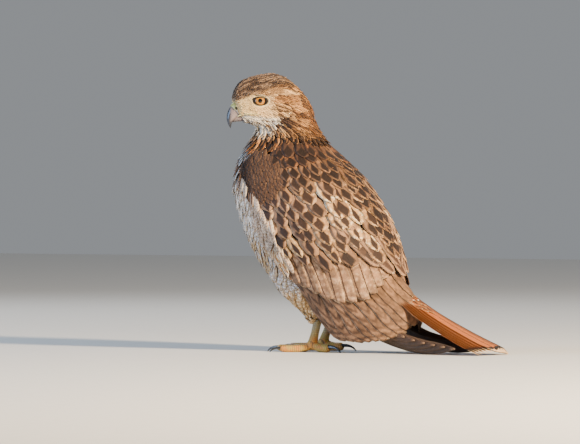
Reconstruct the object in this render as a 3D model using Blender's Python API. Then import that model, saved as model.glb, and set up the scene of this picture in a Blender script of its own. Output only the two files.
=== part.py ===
"""A perched red tailed hawk, life size, standing on its feet with its tail laid on the floor.

The bird faces -Y, its left side is +X and +Z is up. Its head is turned to its left.
Sizes are in millimetres and become metres where a mesh is made.
"""

import bisect
import math

import bmesh
import bpy
from mathutils import Matrix, Vector

MM = 0.001
GAP = 0.3
WELD = 0.002
UP = Vector((0.0, 0.0, 1.0))

# Driving sizes of the bird
EYE_HEIGHT = 315.5
HEAD_TURN = 45.0
HEAD_CENTRE = Vector((26.9, -47.9, EYE_HEIGHT))
NECK_CUT = 262.0
TORSO_TOP = 318.0
EYE_RADIUS = 9.5
EYE_SIDE = 19.8
FOOT_CENTRE = {1: Vector((29.0, 37.0, 8.0)), -1: Vector((-29.0, 15.0, 8.0))}
TAIL_LENGTH = 224.0
TAIL_ROOT = Vector((0.0, 99.0, 112.0))
TAIL_START_SLOPE = 38.0
TAIL_END_SLOPE = 20.0
VANE_THICKNESS = 0.8
VANE_SPACING = 1.5

# Outline of the folded wings, level by level: height, centre Y, half width and half depth
CLOAK = [
    (2, 114, 46, 74),
    (15, 108, 50, 80),
    (37, 98, 57, 95),
    (54, 87, 62, 103),
    (66, 80, 66, 97),
    (85, 67, 71, 95),
    (112, 50, 79, 98),
    (139, 34, 87, 101),
    (169, 20, 90, 99.5),
    (194, 8, 89, 94),
    (222, -4, 80, 83),
    (249, -16, 60, 66),
    (279, -19, 36, 44),
]

# The body under the wings, level by level: height, front Y, back Y and half width
TORSO = [
    (27, 54, 80, 8),
    (32, 42, 90, 22),
    (44, 24, 102, 34),
    (56, 5, 110, 42),
    (70, -12, 117, 49),
    (85, -29, 123, 56),
    (100, -45, 127, 62),
    (125, -62, 128, 70),
    (154, -76, 120, 76),
    (182, -85, 106, 78),
    (208, -88, 89, 77),
    (235, -85.5, 64, 68),
    (249, -81, 49, 58),
    (264, -72.5, 37, 47),
    (279, -63, 26, 37),
    (300, -56, 14, 33),
    (TORSO_TOP, -48, 2, 26),
]

# The head from front to nape: forward of the eyes, top and bottom over eye height, half width
HEAD = [
    (30.5, 10, -4, 12),
    (28, 17, -13, 16.5),
    (24, 23, -22, 19.5),
    (18, 28, -27, 22.5),
    (8, 32, -33, 27.5),
    (-7, 36, -38, 32),
    (-20, 36.5, -41, 35),
    (-35, 32.5, -43, 36.5),
    (-48, 22.5, -43, 35),
    (-60, 10, -41, 30.5),
    (-69, -3, -37, 22),
    (-74, -15, -28, 9),
]


def along(stations, key):
    """The other values of a station list at key, on a smooth curve through its stations."""
    keys = [station[0] for station in stations]
    key = min(max(key, keys[0]), keys[-1])
    i = max(0, min(len(keys) - 2, bisect.bisect_right(keys, key) - 1))
    span = keys[i + 1] - keys[i]
    t = (key - keys[i]) / span
    values = []
    for k in range(1, len(stations[0])):

        def slope(n):
            low, high = max(n - 1, 0), min(n + 1, len(keys) - 1)
            return (stations[high][k] - stations[low][k]) / (keys[high] - keys[low])

        a, b = stations[i][k], stations[i + 1][k]
        values.append(
            (2 * t**3 - 3 * t**2 + 1) * a
            + (t**3 - 2 * t**2 + t) * span * slope(i)
            + (3 * t**2 - 2 * t**3) * b
            + (t**3 - t**2) * span * slope(i + 1)
        )
    return values


def blend(a, b, t):
    """The value a share t of the way from a to b."""
    return a + (b - a) * t


def material(name, colour, roughness=0.7):
    made = bpy.data.materials.new(name)
    made.use_nodes = True
    shader = made.node_tree.nodes["Principled BSDF"]
    shader.inputs["Base Color"].default_value = (*colour, 1.0)
    shader.inputs["Roughness"].default_value = roughness
    made.diffuse_color = (*colour, 1.0)
    return made


def mesh_object(name, points, faces, look=None):
    """A closed mesh object from points in millimetres, with its faces turned outwards."""
    mesh = bpy.data.meshes.new(name)
    shape = bmesh.new()
    corners = [shape.verts.new(Vector(p) * MM) for p in points]
    for face in faces:
        shape.faces.new([corners[i] for i in face])
    bmesh.ops.triangulate(shape, faces=shape.faces)
    bmesh.ops.recalc_face_normals(shape, faces=shape.faces)
    shape.to_mesh(mesh)
    shape.free()
    made = bpy.data.objects.new(name, mesh)
    if look:
        made.data.materials.append(look)
    BIRD.objects.link(made)
    return made


def loft(name, rings, look=None):
    """A closed body through rings of equal count, its two ends fanned to their middles."""
    count = len(rings[0])
    points = [p for ring in rings for p in ring]
    faces = []
    for k in range(len(rings) - 1):
        for i in range(count):
            j = (i + 1) % count
            a, b = k * count, (k + 1) * count
            faces.append((a + i, a + j, b + j))
            faces.append((a + i, b + j, b + i))
    for start, ring in ((0, rings[0]), ((len(rings) - 1) * count, rings[-1])):
        middle = len(points)
        points.append(sum((Vector(p) for p in ring), Vector()) / count)
        faces += [(start + i, start + (i + 1) % count, middle) for i in range(count)]
    return mesh_object(name, points, faces, look)


def vane(name, point, across, shares, look=None):
    """A thin feather vane split into triangles alike on both faces.

    point(share, place, face) gives a point: the share runs from root to tip, the place is one of
    the three columns across and the face is 1 on top and -1 below.
    """
    rows, columns = len(shares), len(across)
    points = [point(s, a, face) for face in (1, -1) for s in range(rows) for a in range(columns)]

    def corner(face, row, column):
        return (rows if face < 0 else 0) * columns + row * columns + column

    faces = []
    for row in range(rows - 1):
        for column in range(columns - 1):
            for face in (1, -1):
                a, b = corner(face, row, column), corner(face, row, column + 1)
                c, d = corner(face, row + 1, column + 1), corner(face, row + 1, column)
                faces += [(a, b, c), (a, c, d)]
        for column in (0, columns - 1):
            a, b = corner(1, row, column), corner(1, row + 1, column)
            c, d = corner(-1, row + 1, column), corner(-1, row, column)
            faces += [(a, b, c), (a, c, d)]
    for row in (0, rows - 1):
        for column in range(columns - 1):
            a, b = corner(1, row, column), corner(1, row, column + 1)
            c, d = corner(-1, row, column + 1), corner(-1, row, column)
            faces += [(a, b, c), (a, c, d)]
    return mesh_object(name, points, faces, look)


def boolean(target, other, operation):
    """Applies one Boolean of other, an object or a collection, to target."""
    change = target.modifiers.new(operation, "BOOLEAN")
    change.operation = operation
    change.solver = "MANIFOLD"
    if isinstance(other, bpy.types.Collection):
        change.operand_type = "COLLECTION"
        change.collection = other
    else:
        change.object = other
    bpy.context.view_layer.update()
    evaluated = target.evaluated_get(bpy.context.evaluated_depsgraph_get())
    mesh = bpy.data.meshes.new_from_object(evaluated)
    target.modifiers.remove(change)
    target.data = mesh
    return target


def drop(*objects):
    for thing in objects:
        bpy.data.objects.remove(thing)


def keep_largest(target):
    """Keeps the closed surface that takes the most room, so that no scrap or sealed hollow is left."""
    shape = bmesh.new()
    shape.from_mesh(target.data)
    bmesh.ops.remove_doubles(shape, verts=shape.verts, dist=WELD * MM)
    bmesh.ops.dissolve_degenerate(shape, edges=shape.edges, dist=WELD * MM)
    bmesh.ops.triangulate(shape, faces=shape.faces)
    left, groups = set(shape.faces), []
    while left:
        group, edge = set(), [left.pop()]
        while edge:
            face = edge.pop()
            group.add(face)
            for side in face.edges:
                for near in side.link_faces:
                    if near in left:
                        left.remove(near)
                        edge.append(near)
        groups.append(group)

    def room(group):
        low, high = Vector((1e9,) * 3), Vector((-1e9,) * 3)
        for face in group:
            for corner in face.verts:
                low = Vector(map(min, low, corner.co))
                high = Vector(map(max, high, corner.co))
        return (high - low).length

    largest = max(groups, key=room)
    bmesh.ops.delete(shape, geom=[f for f in shape.faces if f not in largest], context="FACES")
    shape.to_mesh(target.data)
    shape.free()
    return target


def fuse(first, pieces):
    """Joins closed pieces to the first one with one Boolean union, and removes them."""
    group = bpy.data.collections.new(first.name + "_pieces")
    for piece in pieces:
        group.objects.link(piece)
    boolean(first, group, "UNION")
    drop(*pieces)
    bpy.data.collections.remove(group)
    return keep_largest(first)


def cut(target, *cutters):
    """Takes cutters out of target and removes them."""
    for cutter in cutters:
        boolean(target, cutter, "DIFFERENCE")
        drop(cutter)
    return keep_largest(target)


def clear_of_floor(target):
    """Trims what reaches under the floor, which leaves small flats at one level."""
    size = 1000.0
    bpy.ops.mesh.primitive_cube_add(size=size * MM, location=(0, 0, -size * MM / 2))
    return cut(target, bpy.context.object)


def level_ring(z, centre_y, half_width, front, back, count, grow=0.0):
    """A level oval whose front and back halves have their own depths."""
    ring = []
    for i in range(count):
        angle = 2 * math.pi * i / count
        depth = back if math.cos(angle) > 0 else front
        ring.append(
            Vector(
                (
                    (half_width + grow) * math.sin(angle),
                    centre_y + (depth + grow) * math.cos(angle),
                    z,
                )
            )
        )
    return ring


def torso_ring(z, count, grow=0.0):
    front, back, half_width = along(TORSO, z)
    centre = (front + back) / 2
    return level_ring(z, centre, half_width, centre - front, back - centre, count, grow)


def cloak(z, angle, lift=0.0, side=1):
    """A point on the outline of the folded wings. The angle is 0 at the mid back and 90 at the side.

    The right wing lies a little further forward low down.
    """
    centre, half_width, depth = along(CLOAK, z)
    turn = math.radians(angle)
    if side < 0:
        centre -= along([(20, 17), (60, 14), (100, 5), (150, 0), (280, 0)], z)[0]
    return Vector(
        (
            side * (half_width + lift) * math.sin(turn),
            centre + (depth + lift) * math.cos(turn),
            z,
        )
    )


def head_frame():
    """Places head pieces: X forward, Y to the bird's left and Z up, from between the eyes."""
    return Matrix.Translation(HEAD_CENTRE) @ Matrix.Rotation(math.radians(HEAD_TURN - 90), 4, "Z")


def oval(centre, across, up, half_across, half_up, count, power=2.0):
    """An upright oval ring. A power over 2 squares it."""
    ring = []
    for i in range(count):
        angle = 2 * math.pi * i / count
        c, s = math.cos(angle), math.sin(angle)
        x = math.copysign(abs(c) ** (2 / power), c)
        y = math.copysign(abs(s) ** (2 / power), s)
        ring.append(centre + across * (half_across * x) + up * (half_up * y))
    return ring


def placed(ring, frame):
    return [frame @ p for p in ring]


def ball(name, centre, radii, frame=None, tilt=0.0, segments=14, rings=9, look=None):
    """A sphere or egg shape at a place in millimetres."""
    bpy.ops.mesh.primitive_uv_sphere_add(segments=segments, ring_count=rings, radius=1.0)
    made = bpy.context.object
    made.name = name
    place = (frame or Matrix()) @ Matrix.Translation(Vector(centre))
    place = place @ Matrix.Rotation(math.radians(tilt), 4, "Y") @ Matrix.Diagonal((*radii, 1.0))
    made.data.transform(Matrix.Scale(MM, 4) @ place)
    for group in list(made.users_collection):
        group.objects.unlink(made)
    BIRD.objects.link(made)
    if look:
        made.data.materials.append(look)
    return made


# Head

def head_body(name, grow=0.0, count=20, look=None):
    rings = []
    for forward, top, bottom, half_width in HEAD:
        centre = Vector((forward, 0, (top + bottom) / 2))
        rings.append(
            placed(
                oval(
                    centre,
                    Vector((0, 1, 0)),
                    UP,
                    half_width + grow,
                    (top - bottom) / 2 + grow,
                    count,
                    2.15,
                ),
                head_frame(),
            )
        )
    return loft(name, rings, look)


# Upper bill from inside the face to the hook's tip: top and bottom edges, each forward and up, and half width
BILL = [
    ((23, 0), (24, -17), 9.5),
    ((30, -2.5), (28.5, -17.6), 7.8),
    ((33, -4.5), (30.3, -18.4), 7.0),
    ((36.2, -9.5), (31.6, -19.8), 5.6),
    ((38, -17), (32.8, -22.4), 4.1),
    ((37.6, -24), (33.6, -26), 2.8),
    ((35.8, -30), (33.5, -30), 1.5),
    ((33.9, -34), (33.1, -33.2), 0.5),
]
CERE_RINGS = 3

# Lower bill, from the throat to its tip
LOWER_BILL = [
    ((8, -17), (8, -24.5), 9.5),
    ((18, -16.5), (18, -25.2), 8.2),
    ((26, -17.5), (26, -25.4), 5.6),
    ((30.6, -19.8), (30.2, -24.8), 3.2),
    ((32, -22.4), (31.8, -24.2), 1.4),
]


def bill_rings(stations, grow=0.0, count=12):
    rings = []
    for top, bottom, half_width in stations:
        high, low = Vector((top[0], 0, top[1])), Vector((bottom[0], 0, bottom[1]))
        reach = (high - low).length / 2
        up = (high - low).normalized()
        rings.append(
            placed(
                oval((high + low) / 2, Vector((0, 1, 0)), up, half_width + grow, reach + grow, count, 2.2),
                head_frame(),
            )
        )
    return rings


def make_head():
    upper = bill_rings(BILL)
    cere = loft("cere", upper[:CERE_RINGS], LOOKS["cere"])
    step = (Vector((36.2, 0, -9.5)) - Vector((33, 0, -4.5))).normalized() * GAP
    step = head_frame().to_3x3() @ Vector((step.x, 0, step.z))
    first = [p + step for p in upper[CERE_RINGS - 1]]
    loft("bill_upper", [first] + upper[CERE_RINGS:], LOOKS["bill"])
    for side in (-1, 1):
        nostril = ball("nostril", (29.5, side * 7.6, -8.5), (1.9, 1.6, 1.3), head_frame(), 0, 8, 6)
        cut(cere, nostril)
    lower = loft("bill_lower", bill_rings(LOWER_BILL), LOOKS["bill"])
    cut(lower, loft("upper_room", bill_rings(BILL, GAP)))
    head = head_body("head", look=LOOKS["head_feathers"])
    parts = []
    for side in (-1, 1):
        orbit = ball("orbit", (3, side * 39.5, -0.5), (14.5, 14.5, 12.5), head_frame())
        cut(head, orbit)
        bpy.ops.mesh.primitive_torus_add(
            major_segments=16, minor_segments=6, major_radius=8.5 * MM, minor_radius=1.1 * MM
        )
        lid = bpy.context.object
        facing = head_frame() @ Matrix.Translation((0.2, side * 25.0, 0))
        facing = facing @ Matrix.Rotation(math.radians(-90 * side), 4, "X")
        facing = facing @ Matrix.Rotation(math.radians(12), 4, "Y") @ Matrix.Diagonal((1, 0.86, 1, 1))
        lid.data.transform(Matrix.Scale(1 / MM, 4))
        lid.data.transform(Matrix.Scale(MM, 4) @ facing)
        parts.append(lid)
        parts.append(ball("brow", (3, side * 25.4, 9.9), (17, 5.2, 3.8), head_frame(), 5))
    fuse(head, parts)
    for side, word in ((1, "left"), (-1, "right")):
        cut(head, ball("socket", (0, side * EYE_SIDE, 0), (EYE_RADIUS + GAP,) * 3, head_frame()))
        ball("eye_" + word, (0, side * EYE_SIDE, 0), (EYE_RADIUS,) * 3, head_frame(), look=LOOKS["eye"])
    cut(
        head,
        loft("upper_room", bill_rings(BILL, GAP)),
        loft("lower_room", bill_rings(LOWER_BILL, GAP)),
    )
    return head


# Body

TORSO_SIDES = 24
TORSO_LEVELS = [blend(TORSO[0][0], NECK_CUT, k / 13) for k in range(14)]
NECK_LEVELS = [blend(NECK_CUT + GAP, TORSO_TOP, k / 4) for k in range(5)]


def torso_body(name, levels, grow=0.0, look=None):
    return loft(name, [torso_ring(z, TORSO_SIDES, grow) for z in levels], look)


def make_body():
    neck = torso_body("neck", NECK_LEVELS, look=LOOKS["breast"])
    cut(neck, head_body("head_room", GAP))
    torso_body("torso", TORSO_LEVELS, look=LOOKS["breast"])


def torso_room():
    """The body with a little clearance, which cuts whatever lies on it."""
    rings = [torso_ring(z, TORSO_SIDES, GAP) for z in TORSO_LEVELS + NECK_LEVELS[1:]]
    rings[0] = [p - UP * GAP for p in rings[0]]
    return loft("torso_room", rings)


# Wings

WING_LEVELS = [247, 240, 225, 205, 180, 157, 137, 117, 100, 92]

# How far the wing's core lies from the outline, and its thickness, level by level
CORE = [(92, -9.5, 4.5), (104, -8, 5), (117, -6.2, 6.5), (135, -4.6, 8), (155, -1.8, 10), (175, -0.8, 12), (205, -0.4, 13), (235, 0, 9), (248, 0, 4)]


def wing_edges(z):
    """The wing's edge towards the mid back and its front edge, as angles round the body."""
    back = along([(92, 12), (130, 8), (150, 8), (200, 24), (235, 55), (248, 80)], z)[0]
    front = along([(92, 105), (120, 106), (155, 107), (215, 118), (235, 110), (248, 92)], z)[0]
    return back, front


def wing_core(name, side, look):
    """The wing without its feathers, a curved plate with rounded edges."""
    columns = 11

    def point(row, column, face):
        z = WING_LEVELS[row]
        back, front = wing_edges(z)
        lift, thickness = along(CORE, z)
        share = column / (columns - 1)
        edge = (2 * share - 1) ** 6
        inwards = 0.35 * edge if face > 0 else 1 - 0.35 * edge
        return cloak(z, blend(back, front, share), lift - thickness * inwards, side)

    return vane(name, point, range(columns), WING_LEVELS, look)


# Each tier of wing feathers: how many, the height of their roots, and the height that the tip
# angles are given at; by place in the row from the front, the angles of root and tip and the
# height of the tip; and by height, how far the tier lies from the outline.
TIERS = {
    "secondary": (
        13,
        128,
        16,
        [(-1, 111, 121, 18), (0, 103, 112, 17), (3, 81, 84, 15), (6, 59, 56, 15.5), (8, 45, 37.5, 21), (9, 38, 29.5, 33), (10, 31, 23, 45), (11, 24, 16, 57), (12, 17, 10.5, 71), (13, 10, 5, 85)],
        [(15, -1.5), (35, -1.7), (60, -3.7), (100, -5.8), (112, -7.5), (128, -9.5)],
    ),
    "greater": (
        8,
        150,
        62,
        [(-1, 111, 113, 83), (0, 102, 103, 79), (2, 84, 83.5, 67), (4, 66, 64, 62), (6, 48, 44.5, 67), (7, 39, 34.5, 76), (8, 30, 25, 85)],
        [(60, 0.2), (85, -0.2), (105, -2.2), (130, -2.4), (140, -4.0), (150, -6.5)],
    ),
    "median": (
        5,
        164,
        104,
        [(-1, 107, 107, 124), (0, 98, 98, 119), (2, 81, 80, 108), (3, 72, 71, 105), (4, 63, 62, 108), (5, 54, 53, 114), (6, 45, 44, 120)],
        [(100, 1.3), (140, 1.2), (150, 0.2), (164, -4.0)],
    ),
    "scapular": (
        6,
        206,
        100,
        [(-1, 65, 60, 190), (0, 61, 52, 172), (1, 56, 45, 152), (2, 51, 37.5, 134), (3, 46, 30, 119), (4, 41, 22, 107), (5, 36, 14.5, 99), (6, 31, 7, 95)],
        [(95, 2.6), (115, 2.0), (150, 1.6), (175, 1.9), (188, 1.5), (197, -1.5), (206, -4.5)],
    ),
}
TIER_HALF_WIDTH = 0.7

# The vane's outline: share of its length from the root, and share of its full width
VANE_OUTLINE = [(0, 0.6), (0.42, 0.93), (0.8, 1.0), (0.95, 0.76), (1.0, 0.28)]


def tier_vane(tier, i, side):
    """One feather of a tier. Each lies over its neighbour to the front and under the one behind."""
    _, root_z, reference_z, rows, lifts = TIERS[tier]
    tip_z = along(rows, i)[2]

    def point(row, column, face):
        share, width = VANE_OUTLINE[row]
        place = (column - 1) * TIER_HALF_WIDTH * width
        z = blend(root_z, tip_z, share)
        root, tip, _ = along(rows, i + place)
        angle = blend(root, tip, (root_z - z) / (root_z - reference_z))
        lift = along(lifts, z)[0] - VANE_SPACING * place + face * VANE_THICKNESS / 2
        return cloak(z, angle, lift, side)

    return vane(tier, point, (-1, 0, 1), VANE_OUTLINE)


PRIMARY_COUNT = 6
PRIMARY_TIPS = (178, 258)
PRIMARY_HALF_WIDTH = 8.2

# The folded primaries: Y, then X of the bundle's middle and the height of its lower edge
PRIMARY_LINE = [
    (60, 64, 96),
    (85, 54.5, 62),
    (108, 46, 37),
    (135, 37, 18),
    (165, 31, 6.5),
    (195, 36, 1.4),
    (225, 43, 0.2),
    (258, 51, -0.25),
]


def primary_vane(j, side):
    """One primary. The inner ones are short and lie outside, the outer ones are long and inside.

    All share their first rows, so that these bent vanes stay apart.
    """
    tip_y = blend(*PRIMARY_TIPS, j / (PRIMARY_COUNT - 1))
    rows = [60, 85, 110, 135, 160] + [blend(160, tip_y, share) for share in (0.55, 0.9, 1.0)]

    def point(row, column, face):
        y = rows[row]
        x, low = along(PRIMARY_LINE, y)
        half = PRIMARY_HALF_WIDTH * max(0.18, min(1, (tip_y - y) / 15)) ** 0.5
        rise = 2.3 * (PRIMARY_COUNT - 1 - j) * min(1, (y - 50) / 60)
        middle = low + PRIMARY_HALF_WIDTH + rise * (1 - 0.2 * row / 7) - 0.6 * j * max(0, row - 5)
        x += 1.45 * ((PRIMARY_COUNT - 1) / 2 - j) + face * VANE_THICKNESS / 2
        return Vector((side * x, y, middle + (column - 1) * half))

    return vane("primary", point, (-1, 0, 1), rows)


def make_wing(side, word):
    wing = wing_core("wing_" + word, side, LOOKS["wing"])
    feathers = [tier_vane(tier, i, side) for tier in TIERS for i in range(TIERS[tier][0])]
    feathers += [primary_vane(j, side) for j in range(PRIMARY_COUNT)]
    fuse(wing, feathers)
    cut(wing, torso_room(), tail_room(), thigh_body("thigh_room", side, GAP))
    return clear_of_floor(wing)


# Tail

def tail_line(distance):
    """The tail's middle line: place, direction and upward normal at a distance from its root."""
    steps = 24
    place, share = Vector(TAIL_ROOT), distance / TAIL_LENGTH
    for k in range(steps):
        slope = math.radians(blend(TAIL_START_SLOPE, TAIL_END_SLOPE, share * (k + 0.5) / steps))
        place += Vector((0, math.cos(slope), -math.sin(slope))) * (distance / steps)
    slope = math.radians(blend(TAIL_START_SLOPE, TAIL_END_SLOPE, share))
    return place, Vector((0, math.cos(slope), -math.sin(slope))), Vector((0, math.sin(slope), math.cos(slope)))


def tail_point(distance, across, lift):
    place, _, normal = tail_line(distance)
    return place + Vector((across, 0, 0)) + normal * lift


# Half width of the folded tail by share of its length, and the coverts round its root:
# distance, half width, reach above and below
TAIL_HALF_WIDTH = [(0.0, 14), (0.3, 25), (0.45, 30), (0.65, 37), (0.9, 43.5), (1.02, 43)]
TAIL_COVERTS = [(2, 20, 7, 18), (30, 21, 7, 20), (60, 19, 6, 16), (90, 14, 4, 9), (110, 8, 2.5, 5), (118, 3, 1.5, 3)]
TAIL_SIDE_FEATHERS = 6
RANK_SPACING = 1.0
RECTRIX_THICKNESS = 0.65


def tail_lift(index, rank):
    """How far a tail feather lies over the tail's middle line: lower with its rank, raised outwards."""
    return 0.9 * (math.sqrt(index * index + 1.5) - 1.2) - RANK_SPACING * rank


def tail_coverts(name, grow=0.0):
    rings = []
    for distance, half_width, above, below in TAIL_COVERTS:
        ring = []
        for i in range(14):
            angle = 2 * math.pi * i / 14
            reach = (above if i < 7 else below) + grow
            ring.append(tail_point(distance, (half_width + grow) * math.cos(angle), reach * math.sin(angle)))
        rings.append(ring)
    return loft(name, rings)


def tail_room(grow=0.4):
    """The tail with a little clearance, which cuts whatever lies on it."""
    shares = (0, 0.15, 0.3, 0.45, 0.6, 0.8, 1.02)
    columns = 9

    def point(row, column, face):
        across = 2 * column / (columns - 1) - 1
        half = along(TAIL_HALF_WIDTH, shares[row])[0] + grow
        reach = 2.7 - 3 * across**2 * shares[row] + grow if face > 0 else -7.0 - 3 * shares[row] - grow
        return tail_point(shares[row] * TAIL_LENGTH, across * half, reach)

    return fuse(vane("tail_room", point, range(columns), shares), [tail_coverts("coverts", grow)])


def rectrix(number, side):
    """One tail feather. The middle pair lies on top and the outer ones are a little shorter."""
    rank = 2 * number + (0 if side > 0 else 1)
    length = TAIL_LENGTH - 1.5 * number

    def point(row, column, face):
        share, width = RECTRIX_OUTLINE[row]
        index_width = blend(1.9, 6.0, share)
        middle = side * (number + 0.5) * index_width
        across = middle + (column - 1) * width
        index = across / index_width
        lift = tail_lift(index, rank * min(1, 0.35 + 1.3 * share)) + face * RECTRIX_THICKNESS / 2
        return tail_point(share * length, across, lift)

    return vane("rectrix", point, (-1, 0, 1), RECTRIX_OUTLINE)


# A tail feather's outline: share of its length from the root, and half width
RECTRIX_OUTLINE = [(0.06, 3.5), (0.32, 7.7), (0.65, 11), (0.93, 12), (0.985, 8), (1.0, 4)]


def make_tail():
    tail = tail_coverts("tail")
    tail.data.materials.append(LOOKS["tail"])
    fuse(tail, [rectrix(number, side) for number in range(TAIL_SIDE_FEATHERS) for side in (1, -1)])
    cut(tail, torso_room())
    return clear_of_floor(tail)


# Legs

THIGH = [
    # centre X, Y, Z and radius
    (40, 2, 128, 22),
    (41, 6, 112, 31),
    (40, 18.4, 92, 29),
    (37, 30, 73, 22),
    (34, 36.5, 60, 16),
    (32, 42, 46, 11.5),
    (31.5, 43.5, 39, 8.5),
]
ANKLE = Vector((31.0, 55.0, 72.0))


def leg_point(side, point):
    """A point of a leg. The right leg stands further forward the lower it is."""
    shift = FOOT_CENTRE[side].y - FOOT_CENTRE[1].y
    return Vector((side * point[0], point[1] + shift * min(1.0, (128 - point[2]) / 85), point[2]))


def thigh_body(name, side, grow=0.0, look=None):
    rings = []
    for x, y, z, radius in THIGH:
        slant = Vector((0, 0.8, 0.6))
        centre = leg_point(side, (x, y, z))
        rings.append(oval(centre, Vector((1, 0, 0)), slant, 0.62 * radius + grow, radius + grow, 14))
    return loft(name, rings, look)


def tube(name, path, radii, look=None, count=8, squash=1.0):
    """A limb along a path of points, level rings square to the path."""
    rings = []
    for k, point in enumerate(path):
        ahead = path[min(k + 1, len(path) - 1)] - path[max(k - 1, 0)]
        across = ahead.cross(UP)
        across = across.normalized() if across.length > 1e-3 else Vector((1, 0, 0))
        up = across.cross(ahead).normalized()
        rings.append(oval(point, across, up, radii[k], radii[k] * squash, count))
    return loft(name, rings, look)


# Toes: turn from straight ahead in degrees outwards, length and radius, then the claw's length
TOES = {
    "inner": (-24, 36, 5.4, 25),
    "middle": (2, 50, 5.0, 23),
    "outer": (34, 40, 4.6, 20),
    "hind": (172, 29, 5.8, 27),
}


def make_leg(side, word):
    thigh = thigh_body("thigh_" + word, side, look=LOOKS["breast"])
    cut(thigh, torso_room())
    foot_centre = FOOT_CENTRE[side]
    ankle = leg_point(side, ANKLE)
    path = [foot_centre.lerp(ankle, share) for share in (-0.03, 0.1, 0.24, 0.4, 0.52)]
    foot = tube("foot_" + word, path, [7.5, 6.4, 5.4, 5.6, 6.0], LOOKS["scales"])
    pieces = []
    for toe, (turn, length, radius, claw) in TOES.items():
        angle = math.radians(-90 + side * turn)
        ahead = Vector((math.cos(angle), math.sin(angle), 0))
        start = Vector((foot_centre.x, foot_centre.y, 0))
        shares = (0.0, 0.25, 0.45, 0.62, 0.8, 0.95, 1.0)
        heights = (7.5, 6.2, 5.0, 4.7, 4.6, 4.9, 5.2)
        widths = (0.95, 0.95, 1.05, 0.95, 1.02, 0.88, 0.6)
        toe_path = [start + ahead * (length * s) + UP * (h * radius / 5) for s, h in zip(shares, heights)]
        pieces.append(tube("toe", toe_path, [radius * w for w in widths]))
        make_claw(f"claw_{word}_{toe}", start + ahead * length, ahead, radius, claw)
    fuse(foot, pieces)
    cut(foot, thigh_body("thigh_room", side, GAP), torso_room())
    for toe, (turn, length, radius, claw) in TOES.items():
        angle = math.radians(-90 + side * turn)
        ahead = Vector((math.cos(angle), math.sin(angle), 0))
        start = Vector((foot_centre.x, foot_centre.y, 0))
        cut(foot, claw_body("claw_room", start + ahead * length, ahead, radius, claw, GAP))
    return clear_of_floor(foot)


def claw_body(name, end, ahead, radius, length, grow=0.0, look=None):
    """A hooked claw that leaves the toe's end and comes down to the floor."""
    path, radii = [], []
    steps = 5
    for k in range(steps + 1):
        share = k / steps
        angle = math.radians(blend(-28, 92, share))
        bow = length / 1.75
        forward = bow * (math.sin(angle) + math.sin(math.radians(28)))
        rise = bow * (math.cos(angle) - math.cos(math.radians(28)))
        path.append(end + ahead * (forward - 0.16 * length) + UP * (radius * 1.05 + rise * 0.62))
        radii.append(blend(radius * 0.56, 0.45, share**0.9) + grow)
    return tube(name, path, radii, look, count=7)


def make_claw(name, end, ahead, radius, length):
    return clear_of_floor(claw_body(name, end, ahead, radius, length, look=LOOKS["claw"]))


def stand_at_origin():
    """Moves the whole bird sideways so that the middle of its base box is the origin."""
    low, high = Vector((1e9,) * 3), Vector((-1e9,) * 3)
    for thing in BIRD.objects:
        for corner in thing.data.vertices:
            low = Vector(map(min, low, corner.co))
            high = Vector(map(max, high, corner.co))
    shift = Vector((-(low.x + high.x) / 2, -(low.y + high.y) / 2, 0))
    for thing in BIRD.objects:
        thing.data.transform(Matrix.Translation(shift))


for old in list(bpy.data.objects):
    bpy.data.objects.remove(old)
BIRD = bpy.data.collections.new("red_tailed_hawk")
bpy.context.scene.collection.children.link(BIRD)
LOOKS = {
    "head_feathers": material("head_feathers", (0.33, 0.2, 0.11)),
    "breast": material("breast", (0.75, 0.66, 0.55)),
    "wing": material("wing", (0.2, 0.12, 0.07)),
    "tail": material("tail", (0.55, 0.2, 0.07)),
    "eye": material("eye", (0.45, 0.25, 0.06), 0.1),
    "cere": material("cere", (0.7, 0.68, 0.3), 0.5),
    "bill": material("bill", (0.08, 0.09, 0.11), 0.3),
    "scales": material("scales", (0.75, 0.55, 0.15), 0.5),
    "claw": material("claw", (0.02, 0.02, 0.022), 0.25),
}

make_head()
make_body()
for wing_side, wing_word in ((1, "left"), (-1, "right")):
    make_wing(wing_side, wing_word)
    make_leg(wing_side, wing_word)
make_tail()
stand_at_origin()
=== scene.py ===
import math

import bmesh
import bpy
import numpy as np
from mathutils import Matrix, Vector
from mathutils.bvhtree import BVHTree


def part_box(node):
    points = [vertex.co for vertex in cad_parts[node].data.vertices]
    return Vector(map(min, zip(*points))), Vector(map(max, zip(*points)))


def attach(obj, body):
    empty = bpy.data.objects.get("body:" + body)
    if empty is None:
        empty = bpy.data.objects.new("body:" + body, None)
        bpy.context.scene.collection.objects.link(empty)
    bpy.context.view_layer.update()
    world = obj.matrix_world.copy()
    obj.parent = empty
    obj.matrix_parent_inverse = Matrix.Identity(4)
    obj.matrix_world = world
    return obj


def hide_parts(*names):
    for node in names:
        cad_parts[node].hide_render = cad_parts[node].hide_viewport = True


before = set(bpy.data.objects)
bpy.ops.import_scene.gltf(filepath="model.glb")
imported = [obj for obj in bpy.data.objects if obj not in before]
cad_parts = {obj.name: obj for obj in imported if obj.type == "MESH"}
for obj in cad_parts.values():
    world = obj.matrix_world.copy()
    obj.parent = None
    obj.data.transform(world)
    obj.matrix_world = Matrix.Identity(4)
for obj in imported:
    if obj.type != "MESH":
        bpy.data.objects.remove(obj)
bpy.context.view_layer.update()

# The maker's measures are millimetres from the point on the floor under the middle of the body.
# The head, turned to the bird's left, is placed by the left eyeball of the frame.
MM = 0.001
EYE_SIDE = 19.8
HEAD_TURN = math.radians(-45)
HEAD_CENTRE = np.array([26.9, -47.9, 315.5])
HEAD_TO_BENCH = np.array([
    [math.cos(HEAD_TURN), -math.sin(HEAD_TURN), 0],
    [math.sin(HEAD_TURN), math.cos(HEAD_TURN), 0],
    [0, 0, 1],
])
eye_low, eye_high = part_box("eye_left")
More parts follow.
